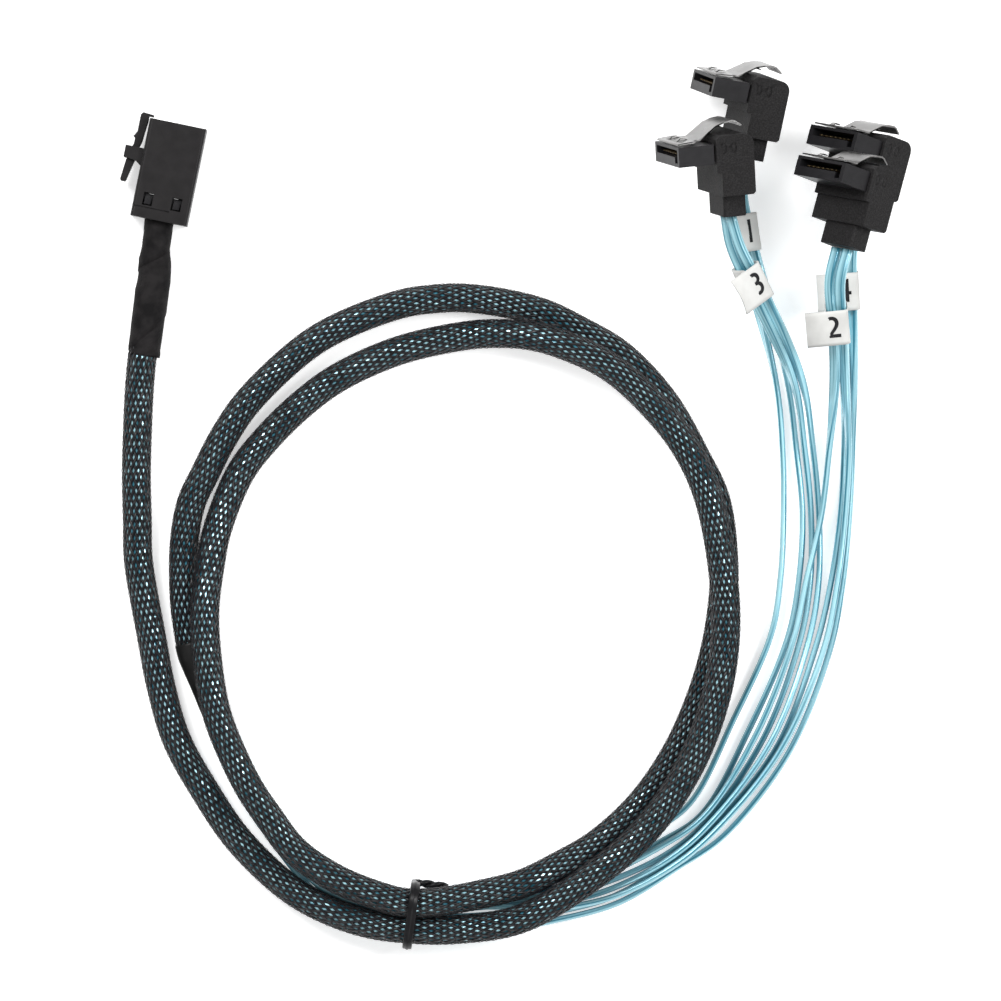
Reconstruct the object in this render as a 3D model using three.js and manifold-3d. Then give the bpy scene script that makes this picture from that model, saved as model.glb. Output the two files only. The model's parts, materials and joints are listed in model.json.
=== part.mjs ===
import * as THREE from 'three';
import { mergeVertices } from 'three/addons/utils/BufferGeometryUtils.js';
import Module from 'manifold-3d';

// A mini SAS to 4 x SATA breakout cable, laid out flat: host plug, cloth tape wrap,
// braided sleeve in a double loop, eight flat twin leads, four right angle SATA plugs.
// Millimetres, +Z up. The floor is z = 0.

const wasm = await Module();
wasm.setup();

// Fits
const gap = 0.3;                 // between pieces that touch or seat in each other
const tiny = 0.01;               // overshoot of a cutting tool past the face it cuts

// Sleeve and leads
const sleeveDia = 6.0;
const leadWidth = 2.4;           // across both lobes of a twin lead
const leadThick = 1.2;
const shrinkDia = 5.6;           // heat shrink over the sleeve's end
const sleeveSteps = 80;
const leadSteps = 30;

// Host plug body, in its own frame: x across, y towards the mating end, z up
const hostW = 11.5;
const hostL = 19.8;
const hostH = 10.2;
const hostWall = 0.9;
const hostBackWall = 1.6;
const hostWindowW = 2.0;
const hostWindowL = 2.6;
const hostWindowX = 2.9;
const hostWindowY = -6.1;
const hostTabH = 0.8;
const hostMarkW = 6.6;           // shallow groove across the back of the cover
const hostMarkL = 0.3;
const hostMarkDepth = 0.3;
const hostExitW = 6.6;           // opening in the back wall for the wires
const hostExitH = 6.0;
const cardThick = 1.0;
const cardW = 7.4;
const cardSet = 1.4;             // from the mating rim back to the card's edge
const cardOffset = 2.2;          // each card's distance from the middle
const padCount = 9;
const padPitch = 0.75;
const padW = 0.45;
const padL = 2.4;
const padProud = 0.12;
const latchW = 5.0;
const latchArm = 1.5;
const bridgeLeg = 0.9;
const bridgeL = 2.4;
const bridgeY = 2.5;
const bridgeReach = 3.7;         // how far the bridge stands off the body
const bridgeBar = 0.5;

// SATA plug, in its own frame: x across, y towards the mating end, z towards the latch
const mouldW = 14.2;
const mouldD = 8.0;
const mouldH = 12.2;
const mouldUpperH = 7.4;
const mouldStep = 1.0;           // the lower front is set back this much
const mouldRound = 2.0;
const mouldChamfer = 0.8;
const bootW = 8.8;
const bootD = 4.8;
const bootH = 4.5;
const noseW = 13.0;
const noseH = 4.0;
const noseL = 7.8;
const noseDrop = 1.6;            // below the overmould's top
const noseRoot = 3.0;            // held inside the overmould
const slotWall = 0.6;
const slotH = 1.5;
const slotSide = 0.9;
const slotDepth = 6.2;
const keyW = 1.3;
const keyH = 1.2;
const ribW = 0.8;
const ribH = 1.7;
const ovalW = 1.2;
const ovalH = 2.2;
const ovalDepth = 0.25;
const contactCount = 7;
const contactPitch = 1.27;
const contactW = 0.6;
const contactL = 5.0;
const contactThick = 0.25;
const contactBar = 0.8;          // the carrier bar that the seven contacts stand in
const clipThick = 0.3;
const clipFrontW = 11.6;
const clipArmW = 7.6;
const clipHoleW = 1.6;
const clipHoleL = 2.6;
const clipHoleX = 2.2;
const clipLift = 2.4;            // apex of the finger tab over the overmould's top
const clipFrontL = 4.2;
const clipLeafW = 3.0;
const barbH = 0.8;

// Tie and labels
const tieW = 1.9;
const tieThick = 0.8;
const tailDia = 1.9;
const tailL = 6.5;
const labelThick = 0.35;
const labelSlack = 0.7;          // room round the leads inside the wrap
const labelL = 7.6;
const labelFlag = 4.4;

// Layout on the floor. Routes are lists of centre points, x, y, z.
const hostPlace = { x: -69.05, y: -2.6, turn: -11.6 };
const sleeveRoute = [
  [-74.4, -39.5, 3.6], [-75.0, -45.9, 3.1], [-75.4, -54.7, 3.1], [-75.6, -63.5, 3.1],
  [-75.4, -72.3, 3.1], [-75.2, -80.1, 3.1], [-72.6, -95.3, 3.1], [-70.6, -105.7, 3.1],
  [-67.6, -115.9, 3.1], [-62.0, -126.1, 3.1], [-55.0, -136.3, 3.1], [-44.8, -145.9, 4.1],
  [-36.8, -150.3, 5.9], [-28.8, -152.9, 6.4], [-20.8, -153.9, 7.1], [-12.0, -154.0, 7.3],
  [1.6, -151.7, 8.5], [17.8, -141.7, 8.6], [27.2, -133.1, 8.8], [35.2, -121.1, 9.4],
  [40.2, -108.1, 9.5], [42.2, -96.1, 9.5], [41.8, -83.1, 9.5], [39.0, -68.1, 9.5],
  [35.2, -59.1, 9.5], [30.0, -51.7, 9.5], [19.8, -42.0, 9.2], [9.8, -37.1, 8.3],
  [2.8, -35.2, 6.7], [-3.6, -34.8, 4.9], [-9.6, -35.2, 3.6], [-22.8, -38.1, 3.1], [-35.0, -43.5, 3.1],
  [-42.2, -48.7, 3.1], [-49.4, -55.7, 3.1], [-54.8, -62.7, 3.3], [-59.4, -74.1, 4.8],
  [-60.6, -80.1, 6.2], [-61.8, -90.3, 8.2], [-61.2, -100.5, 9.1], [-59.4, -110.7, 9.5],
  [-55.8, -119.9, 9.6], [-52.6, -126.1, 9.5], [-49.2, -131.1, 9.4], [-43.8, -138.1, 9.3],
  [-35.6, -143.7, 9.6], [-26.6, -147.3, 10.2], [-21.6, -148.5, 10.2], [-14.8, -148.3, 10.0],
  [-6.8, -146.9, 9.0], [1.6, -144.8, 7.4], [9.2, -141.2, 5.0], [16.8, -136.8, 3.5],
  [25.2, -129.1, 3.1], [32.2, -119.1, 3.1], [37.2, -108.1, 3.1], [40.2, -98.1, 3.1],
  [41.8, -88.1, 3.1], [42.0, -80.1, 3.1], [40.4, -68.1, 3.1], [36.4, -59.5, 3.1],
  [30.0, -48.3, 3.1], [21.4, -39.1, 3.1], [13.4, -34.3, 3.1], [4.8, -30.3, 3.1],
  [-9.0, -27.7, 3.1], [-16.8, -27.9, 3.1], [-22.8, -28.9, 3.1], [-35.0, -33.5, 3.1],
  [-42.2, -37.9, 3.1], [-53.0, -48.1, 3.1], [-58.0, -55.3, 3.1], [-61.8, -62.7, 3.1],
  [-64.6, -68.7, 3.1], [-66.0, -76.7, 3.1], [-66.0, -88.1, 3.1], [-65.2, -94.5, 3.1],
];
const shrinkRoute = [
  [-65.2, -95.6, 3.1], [-64.0, -99.7, 3.1], [-62.2, -105.1, 3.1], [-60.0, -110.3, 3.2],
  [-57.8, -114.7, 3.3],
];

// The cloth tape wrap: centre point, then its width and height.
const wrapRings = [
  [-70.9, -11.6, 5.1, 5.9, 5.3], [-71.3, -14.6, 5.0, 5.6, 5.3], [-71.7, -17.6, 4.8, 5.5, 5.6],
  [-71.8, -20.2, 4.4, 6.4, 6.0], [-71.9, -23.0, 4.0, 6.5, 6.3], [-72.6, -27.0, 3.7, 6.7, 6.5],
  [-73.2, -32.3, 3.4, 6.5, 6.4], [-73.9, -37.6, 3.4, 6.3, 6.3], [-74.1, -39.2, 3.4, 6.3, 6.3],
];
// The tie's middle with its heading, and what it goes round: side, height and radius.
const tiePlace = { at: [-20.4, -150.3], heading: -8 };
const tieRound = [
  [3.62, 7.1, sleeveDia / 2 + 0.1], [-1.75, 10.2, sleeveDia / 2 + 0.2], [-4.0, 2.5, leadWidth / 2 + 0.15],
  [4.0, 2.5, leadWidth / 2 + 0.15],
];
const tieTail = [-5.8, 6.9];    // side and height of the twisted ends
const labelBack = [15, 16, 15, 15];   // from each boot to its label's middle, plugs 1 to 4
// The frame's origin: the middle of the plugs' footprint, on the floor.
const frameOrigin = [0.3, 0.42];

// Eight leads, two to a plug. Each station is a point on the bundle's middle line with its
// heading in degrees, then each lead's distance to the outer side and its height.
const leadStations = [
  { at: [-57.6, -115.2], heading: -65, side: [-2.4, -0.8, 0.8, 2.4, -2.4, -0.8, 0.8, 2.4],
    height: [2.0, 2.0, 4.7, 4.7, 4.7, 4.7, 2.0, 2.0] },
  { at: [-54.8, -121.1], heading: -62, side: [-2.4, -0.8, 0.8, 2.4, -2.4, -0.8, 0.8, 2.4],
    height: [1.4, 1.4, 4.2, 4.2, 4.2, 4.2, 1.4, 1.4] },
  { at: [-47.4, -132.9], heading: -54, side: [-2.4, -0.8, 0.8, 2.4, -2.4, -0.8, 0.8, 2.4],
    height: [1.4, 1.4, 4.2, 4.2, 4.2, 4.2, 1.4, 1.4] },
  { at: [-35.8, -144.3], heading: -33, side: [-3.4, -1.8, 0.0, 1.6, -3.2, -1.6, 2.1, 3.7],
    height: [1.5, 1.5, 4.3, 4.3, 4.4, 4.4, 1.4, 1.4] },
  { at: [-20.4, -150.3], heading: -8, side: [-4.0, -2.4, -0.8, 0.8, -2.8, -1.2, 2.4, 4.0],
    height: [2.5, 2.5, 2.5, 2.5, 5.4, 5.4, 2.5, 2.5] },
  { at: [-11.8, -150.9], heading: 2, side: [-4.2, -2.6, -1.0, 0.6, -3.0, -1.4, 2.2, 3.9],
    height: [1.6, 1.6, 1.6, 1.6, 4.5, 4.5, 1.6, 1.6] },
  { at: [-2.8, -150.1], heading: 9, side: [-4.0, -2.4, -0.8, 0.8, -2.4, -0.6, 2.4, 4.1],
    height: [1.4, 1.4, 1.4, 1.4, 4.2, 4.2, 1.4, 1.4] },
  { at: [6.8, -147.3], heading: 20, side: [-2.8, -1.2, 0.4, 2.0, -0.3, 2.7, 3.6, 5.2],
    height: [1.4, 1.4, 1.4, 1.4, 4.2, 4.2, 1.4, 1.4] },
  { at: [17.2, -142.5], heading: 31, side: [-0.7, 0.9, 2.5, 4.1, 0.9, 5.7, 5.7, 7.3],
    height: [1.4, 1.4, 1.4, 2.6, 4.2, 4.2, 1.4, 1.4] },
  { at: [27.2, -135.3], heading: 42, side: [-0.4, 2.2, 5.0, 6.0, 3.0, 7.7, 6.8, 8.5],
    height: [1.4, 1.4, 1.4, 4.2, 4.2, 4.2, 1.4, 1.4] },
  { at: [38.4, -131.9], heading: 47, side: [-4.4, -1.2, 0.5, 1.2, -0.7, 3.0, 2.3, 5.0],
    height: [1.4, 1.4, 1.4, 4.2, 4.2, 4.2, 1.4, 1.4] },
  { at: [50.4, -116.1], heading: 58, side: [-7.6, -3.9, -0.5, 1.1, -2.2, 3.6, 2.7, 5.3],
    height: [1.4, 1.4, 1.4, 4.0, 4.2, 4.2, 1.4, 1.4] },
  { at: [58.8, -97.1], heading: 73, side: [-7.6, -4.2, -1.7, 0.0, -3.1, 3.3, 1.7, 4.6],
    height: [1.4, 1.4, 1.4, 1.4, 4.2, 4.2, 1.4, 1.4] },
  { at: [61.0, -84.9], heading: 82, side: [-7.7, -4.0, -1.7, 0.0, -2.6, 3.7, 2.4, 4.8],
    height: [1.4, 1.4, 1.4, 1.4, 4.2, 4.2, 1.4, 1.4] },
  { at: [61.1, -71.1], heading: 89, side: [-7.1, -3.3, -1.6, 0.0, 0.4, 5.2, 4.3, 6.1],
    height: [1.4, 1.4, 1.4, 1.4, 4.4, 4.2, 1.4, 1.4] },
  { at: [60.8, -58.1], heading: 92, side: [-7.0, -4.2, -2.6, -0.9, 2.2, 6.1, 5.3, 7.0],
    height: [1.8, 1.8, 3.4, 3.4, 7.2, 7.0, 1.8, 1.8] },
  { at: [60.8, -44.1], heading: 98, side: [-8.3, -6.0, -4.9, -3.2, 3.2, 5.2, 5.4, 7.1],
    height: [3.0, 3.2, 9.0, 9.0, 13.5, 13.5, 4.2, 4.2] },
];

// The last stretch of each lead, from the fan up to its boot.
const leadEnds = [
  [[48.0, -26.5, 4.4], [45.3, -15.0, 5.2], [44.7, -5.2, 5.5], [45.8, 0.3, 6.0]],
  [[50.2, -26.2, 5.2], [47.2, -14.8, 6.6], [45.6, -5.7, 8.2], [46.8, -0.1, 8.7]],
  [[47.7, -27.2, 15.2], [43.3, -17.6, 18.4], [42.1, -11.3, 19.6]],
  [[49.6, -26.5, 15.8], [44.9, -17.4, 20.6], [43.1, -11.6, 22.3]],
  [[63.6, -34.3, 19.2], [62.8, -24.4, 23.4], [64.2, -17.9, 23.5]],
  [[65.4, -34.3, 19.6], [64.8, -24.4, 25.4], [66.3, -18.3, 25.5]],
  [[65.8, -28.0, 6.0], [65.5, -17.4, 7.8], [67.0, -11.4, 7.5]],
  [[67.6, -28.0, 6.3], [67.6, -17.8, 9.6], [69.1, -11.8, 9.5]],
];

// Plugs by the centre of their mating face, with roll, tilt and turn in degrees. Lift is the
// height of the lowest corner off the floor: the front two lie over the back two.
const plugs = [
  { name: 'plug_1', x: 37.7, y: 15.2, roll: 12, tilt: 5, turn: 70, lift: 0, leads: [0, 1] },
  { name: 'plug_2', x: 60.6, y: -2.4, roll: 15, tilt: -4, turn: 44, lift: 16.5, leads: [4, 5] },
  { name: 'plug_3', x: 30.4, y: 0.5, roll: -3, tilt: 9, turn: 70, lift: 14, leads: [2, 3] },
  { name: 'plug_4', x: 63.4, y: 4.1, roll: 15, tilt: -4, turn: 44, lift: 0, leads: [6, 7] },
];

const plastic = { color: 0x2c2a2b, roughness: 0.55, metalness: 0 };
const cloth = { color: 0x1c1a1b, roughness: 0.9, metalness: 0 };
const braid = { color: 0x15222a, roughness: 0.7, metalness: 0 };
const lead = { color: 0x62b4cc, roughness: 0.3, metalness: 0.1 };
const paper = { color: 0xe1e1dd, roughness: 0.8, metalness: 0 };
const steel = { color: 0xaaa8a6, roughness: 0.35, metalness: 1 };
const gold = { color: 0xd0a94a, roughness: 0.3, metalness: 1 };
const board = { color: 0x1f4a2c, roughness: 0.6, metalness: 0 };

const group = new THREE.Group();
const deg = Math.PI / 180;

function part(parent, name, geometry, finish) {
  const mesh = new THREE.Mesh(geometry, new THREE.MeshStandardMaterial(finish));
  mesh.name = name;
  parent.add(mesh);
  return mesh;
}

// Solids: join and cut closed meshes.
function toSolid(geometry) {
  const plain = geometry.clone();
  plain.deleteAttribute('normal');
  plain.deleteAttribute('uv');
  const merged = mergeVertices(plain, 1e-4);
  return new wasm.Manifold(new wasm.Mesh({
    numProp: 3,
    vertProperties: new Float32Array(merged.attributes.position.array),
    triVerts: new Uint32Array(merged.index.array),
  }));
}

function toGeometry(solid) {
  const mesh = solid.getMesh();
  const geometry = new THREE.BufferGeometry();
  geometry.setAttribute('position', new THREE.BufferAttribute(mesh.vertProperties, mesh.numProp));
  geometry.setIndex(new THREE.BufferAttribute(mesh.triVerts, 1));
  return geometry;
}

function join(...geometries) {
  return toGeometry(geometries.map(toSolid).reduce((whole, next) => whole.add(next)));
}

function cut(geometry, ...tools) {
  return toGeometry(tools.map(toSolid).reduce((left, tool) => left.subtract(tool), toSolid(geometry)));
}

function box(x0, x1, y0, y1, z0, z1) {
  const geometry = new THREE.BoxGeometry(x1 - x0, y1 - y0, z1 - z0);
  return geometry.translate((x0 + x1) / 2, (y0 + y1) / 2, (z0 + z1) / 2);
}

function outline(points) {
  return new THREE.Shape(points.map(([u, v]) => new THREE.Vector2(u, v)));
}

// An outline in the y-z plane, extruded across x and centred on it.
function acrossX(shape, width, segments = 4) {
  const geometry = new THREE.ExtrudeGeometry(shape, {
    depth: width, bevelEnabled: false, curveSegments: segments,
  });
  geometry.translate(0, 0, -width / 2);
  const turn = new THREE.Matrix4().makeBasis(
    new THREE.Vector3(0, 1, 0), new THREE.Vector3(0, 0, 1), new THREE.Vector3(1, 0, 0));
  return geometry.applyMatrix4(turn);
}

// An outline in the x-y plane, extruded up z between two heights.
function upright(shape, z0, z1, segments = 4) {
  const geometry = new THREE.ExtrudeGeometry(shape, {
    depth: z1 - z0, bevelEnabled: false, curveSegments: segments,
  });
  return geometry.translate(0, 0, z0);
}

function roundedRect(x0, x1, y0, y1, r) {
  const shape = new THREE.Shape();
  shape.moveTo(x0 + r, y0);
  shape.lineTo(x1 - r, y0);
  shape.absarc(x1 - r, y0 + r, r, -Math.PI / 2, 0);
  shape.lineTo(x1, y1 - r);
  shape.absarc(x1 - r, y1 - r, r, 0, Math.PI / 2);
  shape.lineTo(x0 + r, y1);
  shape.absarc(x0 + r, y1 - r, r, Math.PI / 2, Math.PI);
  shape.lineTo(x0, y0 + r);
  shape.absarc(x0 + r, y0 + r, r, Math.PI, Math.PI * 1.5);
  return shape;
}

function ellipse(across, high, sides) {
  const points = [];
  for (let i = 0; i < sides; i++) {
    const a = (i + 0.5) / sides * 2 * Math.PI;
    points.push([across / 2 * Math.cos(a), high / 2 * Math.sin(a)]);
  }
  return outline(points);
}

function alongRoute(points, section, steps) {
  const curve = new THREE.CatmullRomCurve3(points.map(([x, y, z]) => new THREE.Vector3(x, y, z)));
  return new THREE.ExtrudeGeometry(section, { steps, extrudePath: curve, bevelEnabled: false });
}

// A skin through rings of equal point counts, closed at both ends. The rings go round
// anticlockwise, seen from the last ring.
function loft(rings) {
  const count = rings[0].length;
  const positions = rings.flat(2);
  const index = [];
  for (let r = 0; r < rings.length - 1; r++) {
    for (let i = 0; i < count; i++) {
      const a = r * count + i;
      const b = r * count + (i + 1) % count;
      index.push(a, b, b + count, a, b + count, a + count);
    }
  }
  const last = (rings.length - 1) * count;
  for (let i = 1; i < count - 1; i++) {
    index.push(0, i + 1, i);
    index.push(last, last + i, last + i + 1);
  }
  const geometry = new THREE.BufferGeometry();
  geometry.setAttribute('position', new THREE.Float32BufferAttribute(positions, 3));
  geometry.setIndex(index);
  return geometry;
}

// An outline in the x-z plane, extruded from y0 to y1.
function lengthways(shape, y0, y1, segments = 2) {
  const geometry = new THREE.ExtrudeGeometry(shape, {
    depth: y1 - y0, bevelEnabled: false, curveSegments: segments,
  });
  return geometry.rotateX(Math.PI / 2).translate(0, y1, 0);
}

function hostHousing() {
  const front = hostL / 2;
  const back = -hostL / 2;
  const inX = hostW / 2 - hostWall;
  const inZ = hostH / 2 - hostWall;
  const body = lengthways(roundedRect(-hostW / 2, hostW / 2, -hostH / 2, hostH / 2, 0.7), back, front);
  const tools = [
    lengthways(roundedRect(-inX, inX, -inZ, inZ, 0.4), back + hostBackWall, front + tiny),
    box(-hostExitW / 2, hostExitW / 2, back - tiny, back + hostBackWall + tiny,
      -hostExitH / 2, hostExitH / 2),
    box(-hostW / 2 + 0.4, hostMarkW / 2 - 1.6, back + 1.9, back + 1.9 + hostMarkL,
      hostH / 2 - hostMarkDepth, hostH / 2 + tiny),
  ];
  for (const side of [-1, 1]) {
    const x = side * hostWindowX;
    tools.push(box(x - hostWindowW / 2, x + hostWindowW / 2, hostWindowY - hostWindowL / 2,
      hostWindowY + hostWindowL / 2, -hostH, hostH));
  }
  const outer = -hostW / 2 - bridgeReach;
  const legIn = latchW / 2 + gap;
  const bridge = box(outer, outer + bridgeBar, bridgeY - bridgeL / 2, bridgeY + bridgeL / 2,
    -legIn - bridgeLeg, legIn + bridgeLeg);
  const legs = [-1, 1].map((side) => {
    const foot = outline([
      [outer, bridgeY - bridgeL / 2], [-hostW / 2 - 1.2, bridgeY - bridgeL / 2 - 0.3],
      [-hostW / 2 + tiny, bridgeY - bridgeL / 2 - 1.2], [-hostW / 2 + tiny, bridgeY + bridgeL / 2],
      [outer, bridgeY + bridgeL / 2],
    ]);
    const z = side * (legIn + bridgeLeg / 2);
    return upright(foot, z - bridgeLeg / 2, z + bridgeLeg / 2);
  });
  return join(cut(body, ...tools), bridge, ...legs);
}

// The moulded block that holds the wires' ends. Its tabs snap into the housing's windows.
function hostWireBlock() {
  const inX = hostW / 2 - hostWall - gap;
  const inZ = hostH / 2 - hostWall - gap;
  const y0 = -hostL / 2 + hostBackWall + gap;
  const y1 = y0 + 5.0;
  const block = box(-inX, inX, y0, y1, -inZ, inZ);
  const tabs = [];
  for (const x of [-hostWindowX, hostWindowX]) {
    for (const side of [-1, 1]) {
      const half = hostWindowW / 2 - gap;
      const ramp = acrossX(outline(side > 0
        ? [[hostWindowY - hostWindowL / 2 + gap, inZ - tiny], [hostWindowY + hostWindowL / 2 - gap, inZ - tiny],
          [hostWindowY - hostWindowL / 2 + gap, inZ + hostTabH]]
        : [[hostWindowY + hostWindowL / 2 - gap, -inZ + tiny], [hostWindowY - hostWindowL / 2 + gap, -inZ + tiny],
          [hostWindowY - hostWindowL / 2 + gap, -inZ - hostTabH]]), 2 * half);
      tabs.push(ramp.translate(x, 0, 0));
    }
  }
  const slots = [-cardOffset, cardOffset].map((x) => box(x - cardThick / 2 - gap,
    x + cardThick / 2 + gap, y1 - 2.0, y1 + tiny, -cardW / 2 - gap, cardW / 2 + gap));
  return cut(join(block, ...tabs), ...slots);
}

// A paddle card with gold pads on both faces at its mating edge.
function paddleCard(x) {
  const y1 = hostL / 2 - cardSet;
  const y0 = -hostL / 2 + hostBackWall + 5.0 - 2.0 + 2 * gap;
  const pads = [];
  for (let i = 0; i < padCount; i++) {
    const z = (i - (padCount - 1) / 2) * padPitch;
    const half = cardThick / 2 + padProud;
    pads.push(box(x - half, x + half, y1 - 0.4 - padL, y1 - 0.4, z - padW / 2, z + padW / 2));
  }
  return join(box(x - cardThick / 2, x + cardThick / 2, y0, y1, -cardW / 2, cardW / 2), ...pads);
}

// The press latch: held at the mating end, it runs back under the bridge to a thumb tab.
function hostLatch() {
  const wall = -hostW / 2;
  const nose = hostL / 2;
  const profile = outline([
    [wall - gap, nose - 0.7], [wall - gap, nose + 0.3], [wall + 0.6, nose + 0.3],
    [wall + 0.6, nose + 0.7], [wall - 1.6, nose + 0.9], [wall - 2.0, nose + 0.4],
    [wall - 2.0, nose - 3.1], [wall - 2.6, nose - 4.2], [wall - 2.2, nose - 4.5],
    [wall - 2.2, nose - 5.6], [wall - 2.9, nose - 7.6], [wall - 3.1, nose - 9.0],
    [wall - 3.5, nose - 13.0], [wall - 3.3, nose - 13.4], [wall - 2.5, nose - 13.4],
    [wall - 2.3, nose - 13.0], [wall - 1.8, nose - 10.6], [wall - 1.4, nose - 8.8],
    [wall - 1.2, nose - 6.6], [wall - 2.0 + latchArm - 0.2, nose - 5.0],
    [wall - 2.0 + latchArm, nose - 2.6],
  ]);
  return upright(profile, -latchW / 2, latchW / 2);
}

// SATA plug pieces. The mating face is y = 0 and the nose's middle is z = 0.
const noseBack = -noseL;
const mouldTop = noseH / 2 + noseDrop;
const mouldBottom = mouldTop - mouldH;
const mouldBack = noseBack - mouldD;
const rootW = noseW - 1.8;
const rootH = noseH - 0.8;
const bootFront = noseBack - mouldStep - 1.1;

function sataNose() {
  const shell = box(-noseW / 2, noseW / 2, noseBack + gap, 0, -noseH / 2, noseH / 2);
  const root = box(-rootW / 2, rootW / 2, noseBack - noseRoot, noseBack + 2 * gap, -rootH / 2, rootH / 2);
  const rib = box(noseW / 2 - tiny, noseW / 2 + ribW, noseBack + 0.8, -0.8, -ribH / 2 + 0.3, ribH / 2 + 0.3);
  const slotTop = noseH / 2 - slotWall;
  const slot = box(-noseW / 2 + slotSide, noseW / 2 - slotSide, -slotDepth, tiny,
    slotTop - slotH, slotTop);
  const key = box(-noseW / 2 + slotSide, -noseW / 2 + slotSide + keyW, -slotDepth, tiny,
    slotTop - slotH - keyH, slotTop - tiny);
  return cut(join(shell, root, rib), slot, key);
}

function sataContacts() {
  const floor = noseH / 2 - slotWall - slotH;
  const middle = keyW / 2 - 0.3;
  const strips = [];
  for (let i = 0; i < contactCount; i++) {
    const x = middle + (i - (contactCount - 1) / 2) * contactPitch;
    strips.push(box(x - contactW / 2, x + contactW / 2, -slotDepth + gap, -slotDepth + gap + contactL,
      floor + gap, floor + gap + contactThick));
  }
  const reach = (contactCount - 1) / 2 * contactPitch + contactW;
  const carrier = box(middle - reach, middle + reach, -slotDepth + gap, -slotDepth + gap + contactBar,
    floor + gap, floor + gap + 2 * contactThick);
  return join(carrier, ...strips);
}

function overmould() {
  const front = noseBack;
  const stepZ = mouldTop - mouldUpperH;
  const side = new THREE.Shape();
  side.moveTo(front, stepZ);
  side.lineTo(front, mouldTop - mouldChamfer);
  side.lineTo(front - mouldChamfer, mouldTop);
  side.lineTo(mouldBack + mouldRound, mouldTop);
  side.absarc(mouldBack + mouldRound, mouldTop - mouldRound, mouldRound, Math.PI / 2, Math.PI);
  side.lineTo(mouldBack, mouldBottom + 0.5);
  side.lineTo(mouldBack + 0.5, mouldBottom);
  side.lineTo(front - mouldStep, mouldBottom);
  side.lineTo(front - mouldStep, stepZ);
  const body = acrossX(side, mouldW);
  const boot = upright(roundedRect(-bootW / 2, bootW / 2, bootFront - bootD, bootFront, 0.8),
    mouldBottom - bootH, mouldBottom + 0.5, 2);
  const pocket = box(-rootW / 2 - gap, rootW / 2 + gap, noseBack - noseRoot - gap, noseBack + tiny,
    -rootH / 2 - gap, rootH / 2 + gap);
  const ovals = [];
  for (const x of [-mouldW / 2, mouldW / 2]) {
    for (const back of [1.7, 3.8]) {
      const oval = acrossX(ellipse(ovalW, ovalH, 10), 2 * ovalDepth);
      ovals.push(oval.translate(x, front - back, 1.0));
    }
  }
  return cut(join(body, boot), pocket, ...ovals);
}

// A bent strip: a centre line in the y-z plane given a thickness.
function strip(path, thick, width) {
  const upper = [];
  const lower = [];
  path.forEach(([y, z], i) => {
    const [ya, za] = path[Math.max(i - 1, 0)];
    const [yb, zb] = path[Math.min(i + 1, path.length - 1)];
    const run = Math.hypot(yb - ya, zb - za);
    const [ny, nz] = [-(zb - za) / run * thick / 2, (yb - ya) / run * thick / 2];
    upper.push([y + ny, z + nz]);
    lower.push([y - ny, z - nz]);
  });
  return acrossX(outline([...upper, ...lower.reverse()]), width);
}

// The steel latch clip, bent from one strip: punched front, narrower arm and finger tab.
function sataClip() {
  const seat = noseH / 2 + gap + clipThick / 2;
  const apex = mouldTop + clipLift;
  const body = strip([
    [-0.2, seat], [-1.2, seat + 0.15], [-3.8, seat + 0.3], [-5.6, seat + 0.3],
    [-7.3, mouldTop + 0.3], [-9.2, apex - 0.8], [-11.0, apex - 0.2], [-12.6, apex],
    [-13.3, apex - 0.15], [-14.6, apex - 1.1],
  ], clipThick, clipFrontW);
  const flanks = [-1, 1].map((side) => box(Math.min(side * clipArmW / 2, side * clipFrontW),
    Math.max(side * clipArmW / 2, side * clipFrontW), mouldBack, -clipFrontL, 0, apex + clipLift));
  const holes = [-clipHoleX, clipHoleX].map((x) => box(x - clipHoleW / 2, x + clipHoleW / 2,
    -1.0 - clipHoleL, -1.0, 0, mouldTop));
  const leaf = strip([[-9.0, apex - 0.9], [-10.3, apex - 1.0], [-11.1, apex - 1.3]],
    clipThick - 0.1, clipLeafW);
  const barbs = [-clipHoleX, clipHoleX].map((x) => strip([
    [-0.7, seat + 0.08], [-1.0, seat + 0.12], [-1.9, seat + barbH], [-3.1, seat + barbH],
  ], clipThick - 0.1, clipHoleW - 2 * gap).translate(x, 0, 0));
  return join(cut(body, ...flanks, ...holes), leaf, ...barbs);
}

function hostPlug() {
  const plug = new THREE.Group();
  plug.position.set(hostPlace.x, hostPlace.y, hostH / 2);
  plug.rotation.z = hostPlace.turn * deg;
  part(plug, 'host_housing', hostHousing(), plastic);
  part(plug, 'host_wire_block', hostWireBlock(), plastic);
  part(plug, 'host_card_1', paddleCard(-cardOffset), board);
  part(plug, 'host_card_2', paddleCard(cardOffset), board);
  part(plug, 'host_latch', hostLatch(), plastic);
  group.add(plug);
  return plug;
}

function sataPlug({ name, x, y, roll, tilt, turn, lift }) {
  const holder = new THREE.Group();
  const plug = new THREE.Group();
  part(plug, `${name}_nose`, sataNose(), plastic);
  part(plug, `${name}_contacts`, sataContacts(), gold);
  part(plug, `${name}_overmould`, overmould(), plastic);
  part(plug, `${name}_latch`, sataClip(), steel);
  plug.rotation.x = -Math.PI / 2;
  holder.add(plug);
  holder.rotation.set(tilt * deg, Math.PI - turn * deg, -roll * deg, 'ZXY');
  holder.updateMatrixWorld(true);
  const lowest = new THREE.Box3().setFromObject(holder, true).min.z;
  holder.position.set(x, y, lift - lowest);
  group.add(holder);
  return plug;
}

// Lead k's points: its lane at each station, then its own last stretch.
function leadPoints(k) {
  const lanes = leadStations.map(({ at, heading, side, height }) => [
    at[0] + side[k] * Math.sin(heading * deg), at[1] - side[k] * Math.cos(heading * deg), height[k],
  ]);
  return [...lanes, ...leadEnds[k]];
}

function curveOf(points) {
  return new THREE.CatmullRomCurve3(points.map(([x, y, z]) => new THREE.Vector3(x, y, z)));
}

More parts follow.
